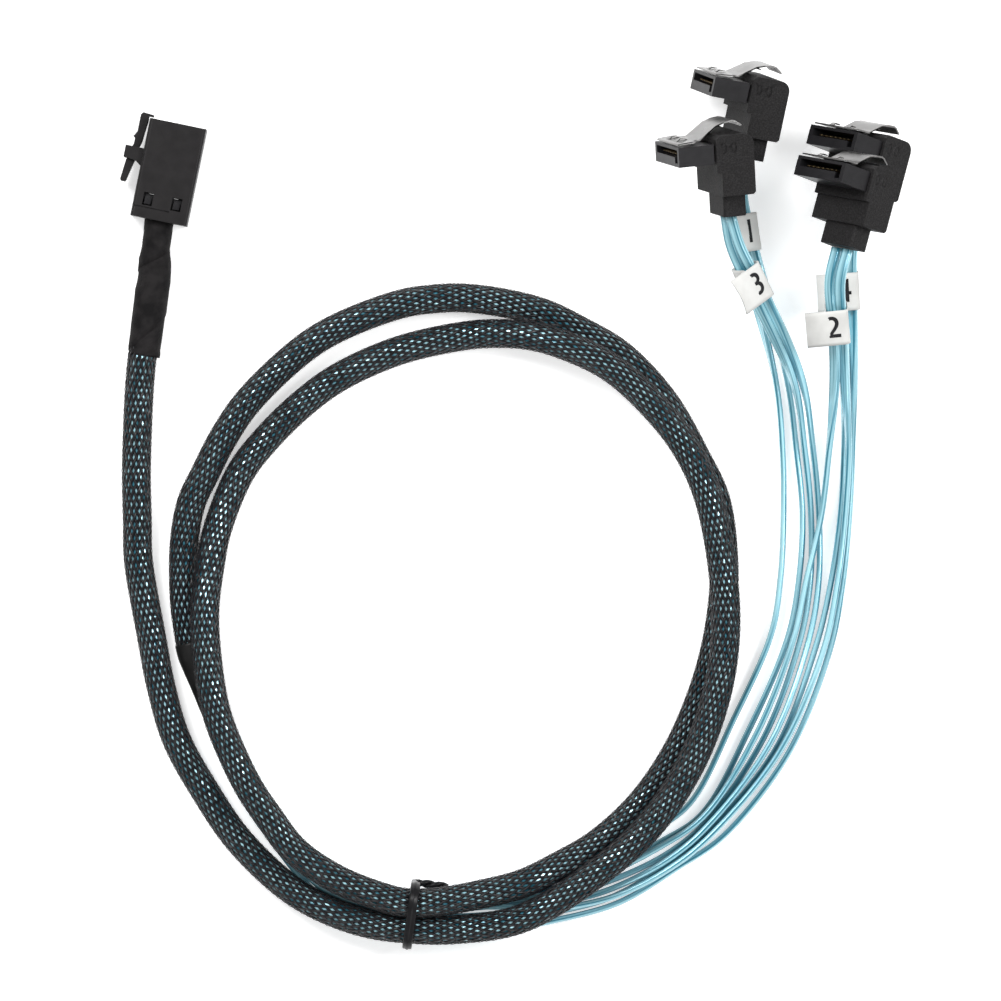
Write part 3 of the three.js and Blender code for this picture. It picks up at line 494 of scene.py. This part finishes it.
def coreSection(at, _):
    look = sleeveLook
    points = []
    turn = at / (look["coreTwist"] * mm) * 2 * math.pi
    steps = look["coreLobes"] * look["lobeSteps"]
    for j in range(steps):
        a = 2 * math.pi * j / steps
        lobe = abs(math.sin(look["coreLobes"] / 2 * (a + turn)))
        r = (look["coreRadius"] + look["lobeHeight"] * lobe) * mm
        points.append((r * math.cos(a), r * math.sin(a)))
    return points


def braidHalf(name, line, hand):
    # One hand of the braid: strands that wind the same way, over and under the other hand's
    look = sleeveLook
    pitch = look["cell"] * look["strands"] * mm
    middle = (look["diameter"] / 2 - look["weaveDepth"] - look["strandTop"]) * mm
    lean = math.atan(2 * math.pi * middle / pitch)
    frames = framesAlong(line)
    run = [0.0]
    for a, b in zip(line, line[1:]):
        run.append(run[-1] + (b - a).length)
    corners = []
    faces = []
    uvs = []
    for strand in range(look["strands"]):
        first = len(corners)
        for i, (point, (ahead, side, up)) in enumerate(zip(line, frames)):
            a = 2 * math.pi * (strand / look["strands"] + hand * run[i] / pitch)
            out = side * math.cos(a) + up * math.sin(a)
            round_ = up * math.cos(a) - side * math.sin(a)
            across = round_ * math.cos(lean) - ahead * (hand * math.sin(lean))
            phase = math.pi * 2 * look["strands"] * run[i] / pitch
            r = middle + hand * look["weaveDepth"] * mm * math.cos(phase)
            centre = point + out * r
            half = look["strandWidth"] / 2 * mm
            corners += [centre - across * half, centre + out * look["strandTop"] * mm, centre + across * half]
        for i in range(len(line) - 1):
            for j in range(3):
                k = (j + 1) % 3
                b = first + i * 3
                faces.append((b + j, b + 3 + j, b + 3 + k, b + k))
                u0, u1 = j / 3, (j + 1) / 3
                uvs.append(((u0 + strand, run[i]), (u0 + strand, run[i + 1]),
                            (u1 + strand, run[i + 1]), (u1 + strand, run[i])))
        last = first + (len(line) - 1) * 3
        faces.append((first, first + 1, first + 2))
        faces.append((last + 2, last + 1, last))
        uvs.append(((0, 0), (0, 0), (0, 0)))
        uvs.append(((0, 0), (0, 0), (0, 0)))
    return addMesh(name, corners, faces, uvs)


# The sleeve runs on a little way inside the tape wrap and under the heat shrink
sleevePoints = [inFrame(p) for p in [(-74.1, -38.0, 3.5)] + sleeveRoute + [(-64.6, -98.0, 3.1)]]
coreLine = smoothLine(sleevePoints, sleeveLook["coreStep"] * mm)
braidLine = smoothLine(sleevePoints, sleeveLook["cell"] * mm / sleeveLook["stepsPerCell"])
core = finishPiece(sweep("sleeve_core", coreLine, coreSection), "blue_jacket", coreBlue)
braids = [finishPiece(braidHalf(name, braidLine, hand), "braided_sleeve", strandBlack, root)
          for name, hand in (("sleeve_braid_left", 1), ("sleeve_braid_right", -1))]
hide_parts("sleeve")


# The leads: two lobes with a groove between, on edge in the fan and turned by the plugs
leadLook = {"width": 2.4, "thick": 1.2, "sideSteps": 4, "stepAngle": 28, "lineStep": 1.2,
            "turnFrom": 48.0, "turnTo": 24.0, "turn": 55.0,
            "tuck": {0: 0.3, 1: 0.6, 2: 0.9, 3: 1.2, 4: 0.3}, "squeeze": 0.82}


def leadSection(at, length):
    look = leadLook
    r = look["thick"] / 2
    spread = look["width"] / 2 - r
    points = []
    for centre, middle in ((spread, 0.0), (-spread, math.pi)):
        for k in range(-look["sideSteps"], look["sideSteps"] + 1):
            a = middle + k * math.radians(look["stepAngle"])
            points.append((centre + r * math.cos(a), r * math.sin(a)))
    left = (length - at) / mm
    share = min(1.0, max(0.0, (look["turnFrom"] - left) / (look["turnFrom"] - look["turnTo"])))
    share = share * share * (3 - 2 * share)
    angle = math.radians(90 - look["turn"] * share)
    c, s = math.cos(angle) * mm, math.sin(angle) * mm
    return [(x * c - y * s, x * s + y * c) for x, y in points]


def leadPoints(k):
    # Under the inner loop the leads lie tucked in, so that the sleeve covers them
    points = []
    for station, (at, heading, side, height) in enumerate(leadStations):
        a = math.radians(heading)
        tucked = station in leadLook["tuck"]
        out = side[k] * leadLook["squeeze"] + leadLook["tuck"][station] if tucked else side[k]
        points.append((at[0] + out * math.sin(a), at[1] - out * math.cos(a), height[k]))
    return [inFrame(p) for p in points + leadEnds[k]]


leadLines = [smoothLine(leadPoints(k), leadLook["lineStep"] * mm) for k in range(len(leadEnds))]
for k, line in enumerate(leadLines):
    piece = sweep(f"twin_lead_{k + 1}", line, leadSection)
    finishPiece(piece, "blue_jacket", jacketBlue, root, f"lead_{k + 1}")
print("leads made,", [round(lineLength(line) / mm) for line in leadLines], "mm")


# The tape wrap: a cloth strip wound over the bundle from the host plug to the sleeve
wrapLook = {"turnRise": 13.0, "stripWidth": 15.0, "stripThick": 0.16, "sheet": 0.12, "lowEdge": 0.15,
            "wrinkle": 0.16, "wrinkleRound": 3, "wrinkleAlong": (1.1, 0.55),
            "around": 96, "widthSteps": 10, "steps": 60, "bodySteps": 40, "bodySides": 32, "mapTurn": 0.0004}


def wrapOutline(rings, at):
    # Centre, width and height of the bundle at a share of its length
    place = at * (len(rings) - 1)
    i = min(int(place), len(rings) - 2)
    t = place - i
    return [a + (b - a) * t for a, b in zip(rings[i], rings[i + 1])]


def wrapBody():
    steps, sides = wrapLook["bodySteps"], wrapLook["bodySides"]
    line = [inFrame(wrapOutline(wrapRings, k / steps)) for k in range(steps + 1)]

    def section(at, length):
        ring = wrapOutline(wrapRings, at / length)
        half = [(ring[3 + k] / 2 - wrapLook["stripThick"]) * mm for k in (0, 1)]
        return [(half[0] * math.cos(2 * math.pi * j / sides), half[1] * math.sin(2 * math.pi * j / sides))
                for j in range(sides)]
    return sweep("tape_core", line, section)


def wrapStrip():
    # The strip's own width runs along the bundle; each turn covers part of the one before
    look = wrapLook
    fine = [wrapOutline(wrapRings, k / look["steps"]) for k in range(look["steps"] + 1)]
    line = [inFrame(p) for p in fine]
    frames = framesAlong(line)
    length = lineLength(line) / mm
    turns = (length + look["stripWidth"]) / look["turnRise"]
    steps = int(turns * look["around"])
    widthSteps = look["widthSteps"]
    waveUp, waveAcross = look["wrinkleAlong"]
    corners = []
    faces = []
    uvs = []
    for i in range(steps + 1):
        turn = i / look["around"]
        a = -2 * math.pi * turn
        for w in range(widthSteps + 1):
            at = look["turnRise"] * turn - look["stripWidth"] + look["stripWidth"] * w / widthSteps
            share = min(1.0, max(0.0, at / length))
            k = share * look["steps"]
            j = min(int(k), look["steps"] - 1)
            t = k - j
            ring = [p + (q - p) * t for p, q in zip(fine[j], fine[j + 1])]
            ahead, side, up = frames[j]
            lift = look["stripThick"] * (look["lowEdge"] + (1 - look["lowEdge"]) * w / widthSteps)
            wave = math.sin(look["wrinkleRound"] * a + at * waveUp) * math.sin(at * waveAcross)
            lift += look["wrinkle"] / 2 * wave
            wide = (ring[3] / 2 - look["stripThick"] + lift) * mm
            high = (ring[4] / 2 - look["stripThick"] + lift) * mm
            corners.append(inFrame(ring) + side * wide * math.cos(a) + up * high * math.sin(a))
    row = widthSteps + 1
    for i in range(steps):
        for w in range(widthSteps):
            b = i * row + w
            faces.append((b, b + row, b + row + 1, b + 1))
            u0, u1 = i * look["mapTurn"], (i + 1) * look["mapTurn"]
            v0, v1 = w * look["stripWidth"] * mm / widthSteps, (w + 1) * look["stripWidth"] * mm / widthSteps
            uvs.append(((u0, v0), (u1, v0), (u1, v1), (u0, v1)))
    piece = addMesh("host_tape", corners, faces, uvs)
    selectOnly(piece)
    bpy.ops.object.mode_set(mode="EDIT")
    bpy.ops.mesh.select_all(action="SELECT")
    bpy.ops.mesh.remove_doubles(threshold=mergeWithin / 2)
    bpy.ops.mesh.dissolve_degenerate(threshold=mergeWithin / 2)
    bpy.ops.object.mode_set(mode="OBJECT")
    thicken = piece.modifiers.new("thickness", "SOLIDIFY")
    thicken.thickness = look["sheet"] * mm
    thicken.offset = 1
    bpy.ops.object.modifier_apply(modifier="thickness")
    return piece


def selectOnly(piece):
    bpy.ops.object.select_all(action="DESELECT")
    piece.select_set(True)
    bpy.context.view_layer.objects.active = piece


wrapCore = finishPiece(wrapBody(), "cloth_tape", tapeCloth)
wrapTape = finishPiece(wrapStrip(), "cloth_tape", tapeCloth, root, "host_wrap")

# The heat shrink at the sleeve's end, drawn in over the leads
shrinkLook = {"width": 6.3, "neck": 5.0, "neckFrom": 0.12, "neckOver": 0.35, "lobe": 0.16, "lobes": 4,
              "ripple": 0.03, "ripples": 5, "rippleTwist": 19, "sides": 40, "step": 0.5}


def shrinkSection(at, length):
    look = shrinkLook
    share = at / length
    ease = min(1.0, max(0.0, (share - look["neckFrom"]) / look["neckOver"]))
    ease = ease * ease * (3 - 2 * ease)
    r = (look["width"] + (look["neck"] - look["width"]) * ease) / 2
    points = []
    for j in range(look["sides"]):
        a = 2 * math.pi * j / look["sides"]
        lobe = look["lobe"] * ease * abs(math.sin(look["lobes"] * a))
        ripple = look["ripple"] * math.sin(look["ripples"] * a + share * look["rippleTwist"])
        points.append(((r + lobe + ripple) * mm * math.cos(a), (r + lobe + ripple) * mm * math.sin(a)))
    return points


shrinkStart = [(-64.8, -96.6, 3.1)] + shrinkRoute[1:]
shrinkLine = smoothLine([inFrame(p) for p in shrinkStart], shrinkLook["step"] * mm)
shrink = finishPiece(sweep("end_shrink", shrinkLine, shrinkSection), "heat_shrink", shrinkBlack, root,
                     "sleeve_end_shrink")
print("tape and heat shrink made")


# The tie: a ribbon with a wire along its middle, its ends twisted together
tieLook = {"at": (-20.4, -150.3), "heading": -8, "width": 1.9, "thick": 0.8, "wire": 0.42,
           "tail": (-5.8, 6.9), "tailLength": 6.5, "tailTurns": 1.3, "tailWidth": 1.9, "tailThick": 0.8,
           "clearance": 0.3, "step": 0.5, "hullSteps": 40, "strand": 0.42, "tailSteps": 60, "tailSides": 8}
tieRound = [(3.62, 7.1, 3.1), (-1.75, 10.2, 3.2), (-4.0, 2.5, 1.35), (4.0, 2.5, 1.35)]


def hullRound(circles, grow):
    steps = tieLook["hullSteps"]
    turns = [2 * math.pi * i / steps for i in range(steps)]
    points = sorted((x + (r + grow) * math.cos(a), z + (r + grow) * math.sin(a))
                    for x, z, r in circles for a in turns)

    def chain(ordered):
        kept = []
        for p in ordered:
            while len(kept) > 1 and ((kept[-1][0] - kept[-2][0]) * (p[1] - kept[-2][1])
                                     - (kept[-1][1] - kept[-2][1]) * (p[0] - kept[-2][0])) <= 1e-9:
                kept.pop()
            kept.append(p)
        return kept[:-1]
    return chain(points) + chain(points[::-1])


def tiePlaceOf(side, height, ahead=0.0):
    # From the tie's own sideways, upward and forward millimetres to the frame
    a = math.radians(tieLook["heading"])
    x = tieLook["at"][0] + math.cos(a) * ahead + math.sin(a) * side
    y = tieLook["at"][1] + math.sin(a) * ahead - math.cos(a) * side
    return inFrame((x, y, height))


def tieRing():
    look = tieLook
    outline = hullRound(tieRound, look["clearance"] + look["thick"] / 2)
    dense = []
    for (x0, z0), (x1, z1) in zip(outline, outline[1:] + outline[:1]):
        pieces = max(1, round(math.hypot(x1 - x0, z1 - z0) / look["step"]))
        dense += [(x0 + (x1 - x0) * k / pieces, z0 + (z1 - z0) * k / pieces) for k in range(pieces)]
    half = look["width"] / 2
    thin = look["thick"] * 0.28
    wire, thick = look["wire"], look["thick"]
    profile = [(-half, 0.0), (-half * 0.8, thin), (-wire, thin), (-wire * 0.6, thick * 0.42),
               (0.0, thick / 2), (wire * 0.6, thick * 0.42), (wire, thin), (half * 0.8, thin),
               (half, 0.0), (half * 0.8, -thin), (0.0, -thick * 0.4), (-half * 0.8, -thin)]
    corners = []
    count = len(dense)
    for i, (x, z) in enumerate(dense):
        xa, za = dense[i - 1]
        xb, zb = dense[(i + 1) % count]
        run = math.hypot(xb - xa, zb - za)
        nx, nz = (zb - za) / run, -(xb - xa) / run
        corners += [tiePlaceOf(x + nx * v, z + nz * v, u) for u, v in profile]
    sides = len(profile)
    faces = [(i * sides + j, i * sides + (j + 1) % sides, (i + 1) % count * sides + (j + 1) % sides,
              (i + 1) % count * sides + j) for i in range(count) for j in range(sides)]
    return addMesh("twist_tie", corners, faces)


def tieTail(name, phase):
    look = tieLook
    steps, sides = look["tailSteps"], look["tailSides"]
    corners = []
    for i in range(steps + 1):
        share = i / steps
        a = 2 * math.pi * look["tailTurns"] * share + phase
        offset = look["strand"] * min(1.0, 0.3 + share * 4)
        cx, cz = offset * math.cos(a), offset * math.sin(a)
        for j in range(sides):
            b = 2 * math.pi * j / sides
            u = look["tailWidth"] / 2 * math.cos(b) * 0.62
            v = look["tailThick"] / 2 * math.sin(b) * 1.1
            along = a + math.pi / 2
            x = cx + u * math.cos(along) - v * math.sin(along)
            z = cz + u * math.sin(along) + v * math.cos(along)
            corners.append(tiePlaceOf(look["tail"][0] + x, look["tail"][1] + z, share * look["tailLength"]))
    faces = [(i * sides + j, i * sides + (j + 1) % sides, (i + 1) * sides + (j + 1) % sides,
              (i + 1) * sides + j) for i in range(steps) for j in range(sides)]
    faces += [tuple(range(sides - 1, -1, -1)), tuple(steps * sides + j for j in range(sides))]
    return addMesh(name, corners, faces)


def turnOutwards(piece):
    selectOnly(piece)
    bpy.ops.object.mode_set(mode="EDIT")
    bpy.ops.mesh.select_all(action="SELECT")
    bpy.ops.mesh.normals_make_consistent(inside=False)
    bpy.ops.object.mode_set(mode="OBJECT")
    return piece


ties = [finishPiece(turnOutwards(tieRing()), "tie_plastic", tiePlastic, root, "tie")]
ties += [finishPiece(turnOutwards(tieTail(name, phase)), "tie_plastic", tiePlastic)
         for name, phase in (("tie_end_first", 0.0), ("tie_end_second", math.pi))]
print("tie made")


# The labels: paper folded round a plug's two leads, its ends stuck together as a flag
labelLook = {"length": 7.6, "flag": 4.4, "slack": 0.5, "thick": 0.35, "paper": 0.16, "digit": 6.6,
             "corner": 0.8, "curl": 0.1, "steps": 10,
             "ink": 0.02, "inkGrow": 0.06, "inkLift": 0.03, "inkAside": 1.0,
             "roll": {1: 35, 2: 0, 3: 30, 4: 6}}


def labelFrame(first, second, back, roll):
    def at(line):
        left = back * mm
        for a, b in zip(line[::-1], line[-2::-1]):
            step = (b - a).length
            if left <= step:
                return a.lerp(b, left / step), (a - b).normalized()
            left -= step
        return line[0], (line[1] - line[0]).normalized()
    a, along = at(first)
    b, _ = at(second)
    level = Vector((0, 0, 1)).cross(along).normalized()
    a2 = math.radians(roll)
    side = level * math.cos(a2) + along.cross(level) * math.sin(a2)
    up = along.cross(side)
    apart = (b - a) / mm
    wide = abs(apart.dot(side)) / 2 + leadLook["thick"] / 2 + labelLook["slack"]
    high = abs(apart.dot(up)) / 2 + leadLook["width"] / 2 + labelLook["slack"]
    return (a + b) / 2, side, up, along, wide, high


def foldedLabel(number, spec):
    first, second, back = spec
    look = labelLook
    centre, side, up, along, wide, high = labelFrame(leadLines[first], leadLines[second], back,
                                                     look["roll"][number])
    middle = look["thick"] / 2
    w, h, flag = wide + middle, high + middle, wide + look["flag"]
    # once round the leads and out to the flag's edge, as the paper goes
    r = look["corner"]

    def bend(x, z, start, first):
        turns = [math.radians(start + 15 * k) for k in range(first, 7)]
        return [(x + r * math.cos(a), z + r * math.sin(a)) for a in turns]

    path = [(flag, h - 0.02), (w * 0.6, h), (0, h), (-w + r, h)]
    path += bend(-w + r, h - r, 90, 1)
    path += [(-w, 0)]
    path += bend(-w + r, -h + r, 180, 0)
    path += [(0, -h), (w - r, -h)]
    path += bend(w - r, -h + r, 270, 1)
    path += [(w, 0), (w, h - 0.9), (w + 0.15, h - 0.4), (w + 0.6, h - 0.22), (flag, h - 0.2)]
    steps = look["steps"]
    corners = []
    for i in range(steps + 1):
        v = look["length"] * (i / steps - 0.5)
        for x, z in path:
            curl = look["curl"] * max(0.0, x - wide) ** 1.4 * math.cos(math.pi * v / look["length"])
            corners.append(centre + (side * x + up * (z + curl) + along * v) * mm)
    n = len(path)
    faces = [(i * n + j, i * n + j + 1, (i + 1) * n + j + 1, (i + 1) * n + j)
             for i in range(steps) for j in range(n - 1)]
    piece = turnOutwards(addMesh(f"paper_label_{number}", corners, faces))
    thicken = piece.modifiers.new("paper", "SOLIDIFY")
    thicken.thickness = look["paper"] * mm
    thicken.offset = 0
    bpy.ops.object.modifier_apply(modifier="paper")
    return piece, (centre, side, up, along, wide, high)


def labelDigit(number, place):
    # A plain digit, read with the leads running upwards
    centre, side, up, along, wide, high = place
    bpy.ops.object.select_all(action="DESELECT")
    bpy.ops.object.text_add()
    words = bpy.context.object
    words.data.body = str(number)
    words.data.align_x = "CENTER"
    words.data.align_y = "CENTER"
    words.data.size = labelLook["digit"] * mm
    words.data.extrude = labelLook["ink"] * mm
    words.data.offset = labelLook["inkGrow"] * mm
    bpy.ops.object.convert(target="MESH")
    digit = bpy.context.object
    digit.name = digit.data.name = f"label_digit_{number}"
    lift = (high + labelLook["thick"] / 2 + labelLook["paper"] / 2 + labelLook["inkLift"]) * mm
    facing = up if up.z > 0 else -up
    across = along.cross(facing).normalized()
    turned = Matrix((across, along, facing)).transposed().to_4x4()
    turned.translation = centre + facing * lift + side * labelLook["inkAside"] * mm
    digit.data.transform(turned)
    digit.matrix_world = Matrix.Identity(4)
    return digit


for number, spec in plugLeads.items():
    paper, place = foldedLabel(number, spec)
    finishPiece(paper, "label_paper", paperWhite, root, f"label_{number}")
    digit = finishPiece(labelDigit(number, place), "tie_plastic", inkAndShadeBlack)
print("labels made")
# Moulded and stamped pieces: the CAD's own form with its loose triangles merged, and edges broken
# as the tool leaves them
def softened(node, name, edge, steps=2, sharp=32, keepSharp=None):
    mesh = frame["nodes"][node].data.copy()
    piece = bpy.data.objects.new(name, mesh)
    bpy.context.scene.collection.objects.link(piece)
    selectOnly(piece)
    bpy.ops.object.mode_set(mode="EDIT")
    bpy.ops.mesh.select_all(action="SELECT")
    bpy.ops.mesh.remove_doubles(threshold=mergeWithin)
    bpy.ops.object.mode_set(mode="OBJECT")
    markEdges(mesh, math.radians(sharp), keepSharp)
    if edge > 0:
        bevel = piece.modifiers.new("edges", "BEVEL")
        bevel.width = edge * mm
        bevel.segments = steps
        bevel.limit_method = "WEIGHT"
        bevel.miter_outer = "MITER_ARC"
        bpy.ops.object.modifier_apply(modifier="edges")
    bpy.ops.object.shade_smooth_by_angle(angle=math.radians(40))
    flats = piece.modifiers.new("flats", "WEIGHTED_NORMAL")
    flats.keep_sharp = True
    flats.weight = 100
    bpy.ops.object.modifier_apply(modifier="flats")
    return piece


def markEdges(mesh, sharp, keepSharp):
    # Edges to round off: the bent ones, apart from those where keepSharp says so
    sides = {}
    for polygon in mesh.polygons:
        for key in polygon.edge_keys:
            sides.setdefault(key, []).append(polygon.normal)
    weights = mesh.attributes.new("bevel_weight_edge", "FLOAT", "EDGE")
    for edge in mesh.edges:
        normals = sides.get(edge.key, [])
        if len(normals) != 2 or normals[0].angle(normals[1], 0) < sharp:
            continue
        ends = [mesh.vertices[i].co for i in edge.vertices]
        if keepSharp is None or not all(keepSharp(end) for end in ends):
            weights.data[edge.index].value = 1


bodyOf = {node: body for body, nodes in frame["record"]["behaviour"]["bodies"].items() for node in nodes}


def dress(node, name, slotName, material, edge, steps=2, sharp=32, keepSharp=None):
    piece = softened(node, name, edge, steps, sharp, keepSharp)
    return finishPiece(piece, slotName, material, bodyOf[node], node)


# A SATA plug's own axes: x along the latch's hinge, y out of the mouth, z towards the latch
plugLook = {"mouthDrop": 1.6, "side": 7.1, "ovals": (-9.5, -11.6), "ovalZ": 1.0, "ovalHalf": (0.6, 1.1),
            "ovalLine": 0.22, "ovalDeep": 0.25, "ovalFoot": 0.05,
            "ovalSteps": 20}


def plugAxes(number):
    record = frame["record"]
    hinge = next(j for j in record["behaviour"]["joints"] if j["name"] == f"plug_{number}_latch_press")
    mouth = next(m for m in record["mounts"] if m["name"] == f"plug_{number}_mating")
    out = Vector(mouth["axis"]).normalized()
    rise = Vector(hinge["pos_m"]) - Vector(mouth["pos_m"])
    up = (rise - out * rise.dot(out)).normalized()
    axes = Matrix((out.cross(up), out, up)).transposed().to_4x4()
    axes.translation = Vector(mouth["pos_m"]) + up * plugLook["mouthDrop"] * mm
    return axes


def inOval(axes):
    # Whether a corner belongs to one of the ovals sunk in the overmould's sides
    look = plugLook
    back = axes.inverted()

    def test(corner):
        x, y, z = (back @ corner) / mm
        wide, high = look["ovalHalf"]
        return abs(x) > look["side"] - 2 * look["ovalDeep"] and any(
            abs(y - at) < wide + 0.05 and abs(z - look["ovalZ"]) < high + 0.05 for at in look["ovals"])
    return test


def ovalPads(number, axes):
    # Each oval: a fine groove round a middle that is flush with the side. The groove's shallow floor is
    # black: painted shade, for the shadow a deep groove would hold
    look = plugLook
    corners = []
    faces = []
    shadeFloors = []
    line, foot, steps = look["ovalLine"], look["ovalFoot"], look["ovalSteps"]
    rings = ((look["ovalDeep"] - 0.02, 0.0), (foot, 0.0), (foot, line), (0.0, line + foot))
    for side in (-1, 1):
        for at in look["ovals"]:
            first = len(corners)
            for depth, inset in rings:
                x = side * (look["side"] - depth)
                wide, high = (half - inset for half in look["ovalHalf"])
                for j in range(steps):
                    a = 2 * math.pi * j / steps
                    corner = Vector((x, at + wide * math.cos(a), look["ovalZ"] + high * math.sin(a)))
                    corners.append(axes @ (corner * mm))
            for ring in (0, steps, 2 * steps):
                shadeFloors += [ring == steps] * steps
                for j in range(steps):
                    k = (j + 1) % steps
                    faces.append(tuple(first + ring + n for n in (j, k, k + steps, j + steps)))
            shadeFloors += [False, False]
            faces.append(tuple(first + j for j in range(steps)))
            faces.append(tuple(first + 3 * steps + j for j in range(steps)))
    piece = turnOutwards(addMesh(f"sata_ovals_{number}", corners, faces))
    # The grooves' floor faces take the second finish, black: painted shade
    for polygon, isShadeFloor in zip(piece.data.polygons, shadeFloors):
        polygon.material_index = int(isShadeFloor)
    return piece


padArea = 0.9  # square millimetres, the most that a face of a pad has


def goldPads(piece):
    # The small faces of a paddle card are its pads
    piece.data.materials.append(contactGoldWithPaintedShade)
    for polygon in piece.data.polygons:
        if polygon.area < padArea * mm * mm:
            polygon.material_index = 1


dress("host_housing", "host_cover", "black_plastic", coverPlastic, 0.16)
dress("host_wire_block", "host_block", "black_plastic", nosePlastic, 0.08)
dress("host_latch", "host_press_latch", "black_plastic", coverPlastic, 0.14, 2, 24)
for number in (1, 2):
    goldPads(dress(f"host_card_{number}", f"host_board_{number}", "circuit_board", cardBoard, 0.03, 1))
for number in plugLeads:
    axes = plugAxes(number)
    dress(f"plug_{number}_nose", f"sata_nose_{number}", "black_plastic", nosePlastic, 0.1)
    dress(f"plug_{number}_contacts", f"sata_contacts_{number}", "gold_contacts", contactGoldWithPaintedShade, 0.04, 1)
    dress(f"plug_{number}_overmould", f"sata_overmould_{number}", "overmould", overmouldPlastic, 0.3, 3,
          32, inOval(axes))
    dress(f"plug_{number}_latch", f"sata_clip_{number}", "spring_steel", latchSteel, 0)
    ovals = finishPiece(ovalPads(number, axes), "overmould", overmouldPlastic)
    # The second finish, black, is painted shade on the grooves' floors
    ovals.data.materials.append(inkAndShadeBlack)
print("plugs dressed")

# Floor, light and finish
stageLook = {"floor": 6.0, "colour": 0.84, "glow": 0.54, "world": 0.36,
             "lamps": [((-0.4, 0.45, 0.8), 0.35, 6.5), ((0.55, 0.15, 0.7), 0.3, 4.4),
                       ((0.0, -0.9, 0.7), 0.5, 2.6)]}


def addStage():
    look = stageLook
    bpy.ops.object.select_all(action="DESELECT")
    bpy.ops.mesh.primitive_plane_add(size=look["floor"], location=(0, -0.07, 0))
    floor = bpy.context.object
    floor.name = "floor"
    material = bpy.data.materials.new("paleFloor")
    material.use_nodes = True
    tree = material.node_tree
    shader = tree.nodes["Principled BSDF"]
    shader.inputs["Base Color"].default_value = (*[look["colour"]] * 3, 1)
    shader.inputs["Roughness"].default_value = 0.9
    shader.inputs["Specular IOR Level"].default_value = 0.1
    shader.inputs["Emission Color"].default_value = (1, 1, 1, 1)
    path = tree.nodes.new("ShaderNodeLightPath")
    seen = mathNode(tree, "MAXIMUM", path.outputs["Is Camera Ray"], path.outputs["Is Glossy Ray"])
    seen = mathNode(tree, "MAXIMUM", seen, path.outputs["Is Transmission Ray"])
    tree.links.new(mathNode(tree, "MULTIPLY", seen, look["glow"]), shader.inputs["Emission Strength"])
    floor.data.materials.append(material)
    world = bpy.data.worlds.new("paleRoom")
    world.use_nodes = True
    world.node_tree.nodes["Background"].inputs["Color"].default_value = (1, 1, 1, 1)
    background = world.node_tree.nodes["Background"]
    path = world.node_tree.nodes.new("ShaderNodeLightPath")
    seen = path.outputs["Is Camera Ray"]
    lit = mathNode(world.node_tree, "MULTIPLY", seen, 1 - look["world"])
    strength = mathNode(world.node_tree, "ADD", lit, look["world"])
    world.node_tree.links.new(strength, background.inputs["Strength"])
    bpy.context.scene.world = world
    for k, (place, size, power) in enumerate(look["lamps"]):
        data = bpy.data.lights.new(f"softbox_{k + 1}", "AREA")
        data.size = size
        data.energy = power
        lamp = bpy.data.objects.new(f"softbox_{k + 1}", data)
        lamp.location = Vector(place) + Vector((0, -0.07, 0))
        lamp.rotation_mode = "QUATERNION"
        lamp.rotation_quaternion = (-Vector(place)).to_track_quat("-Z", "Y")
        bpy.context.scene.collection.objects.link(lamp)


addStage()
print("stage set")
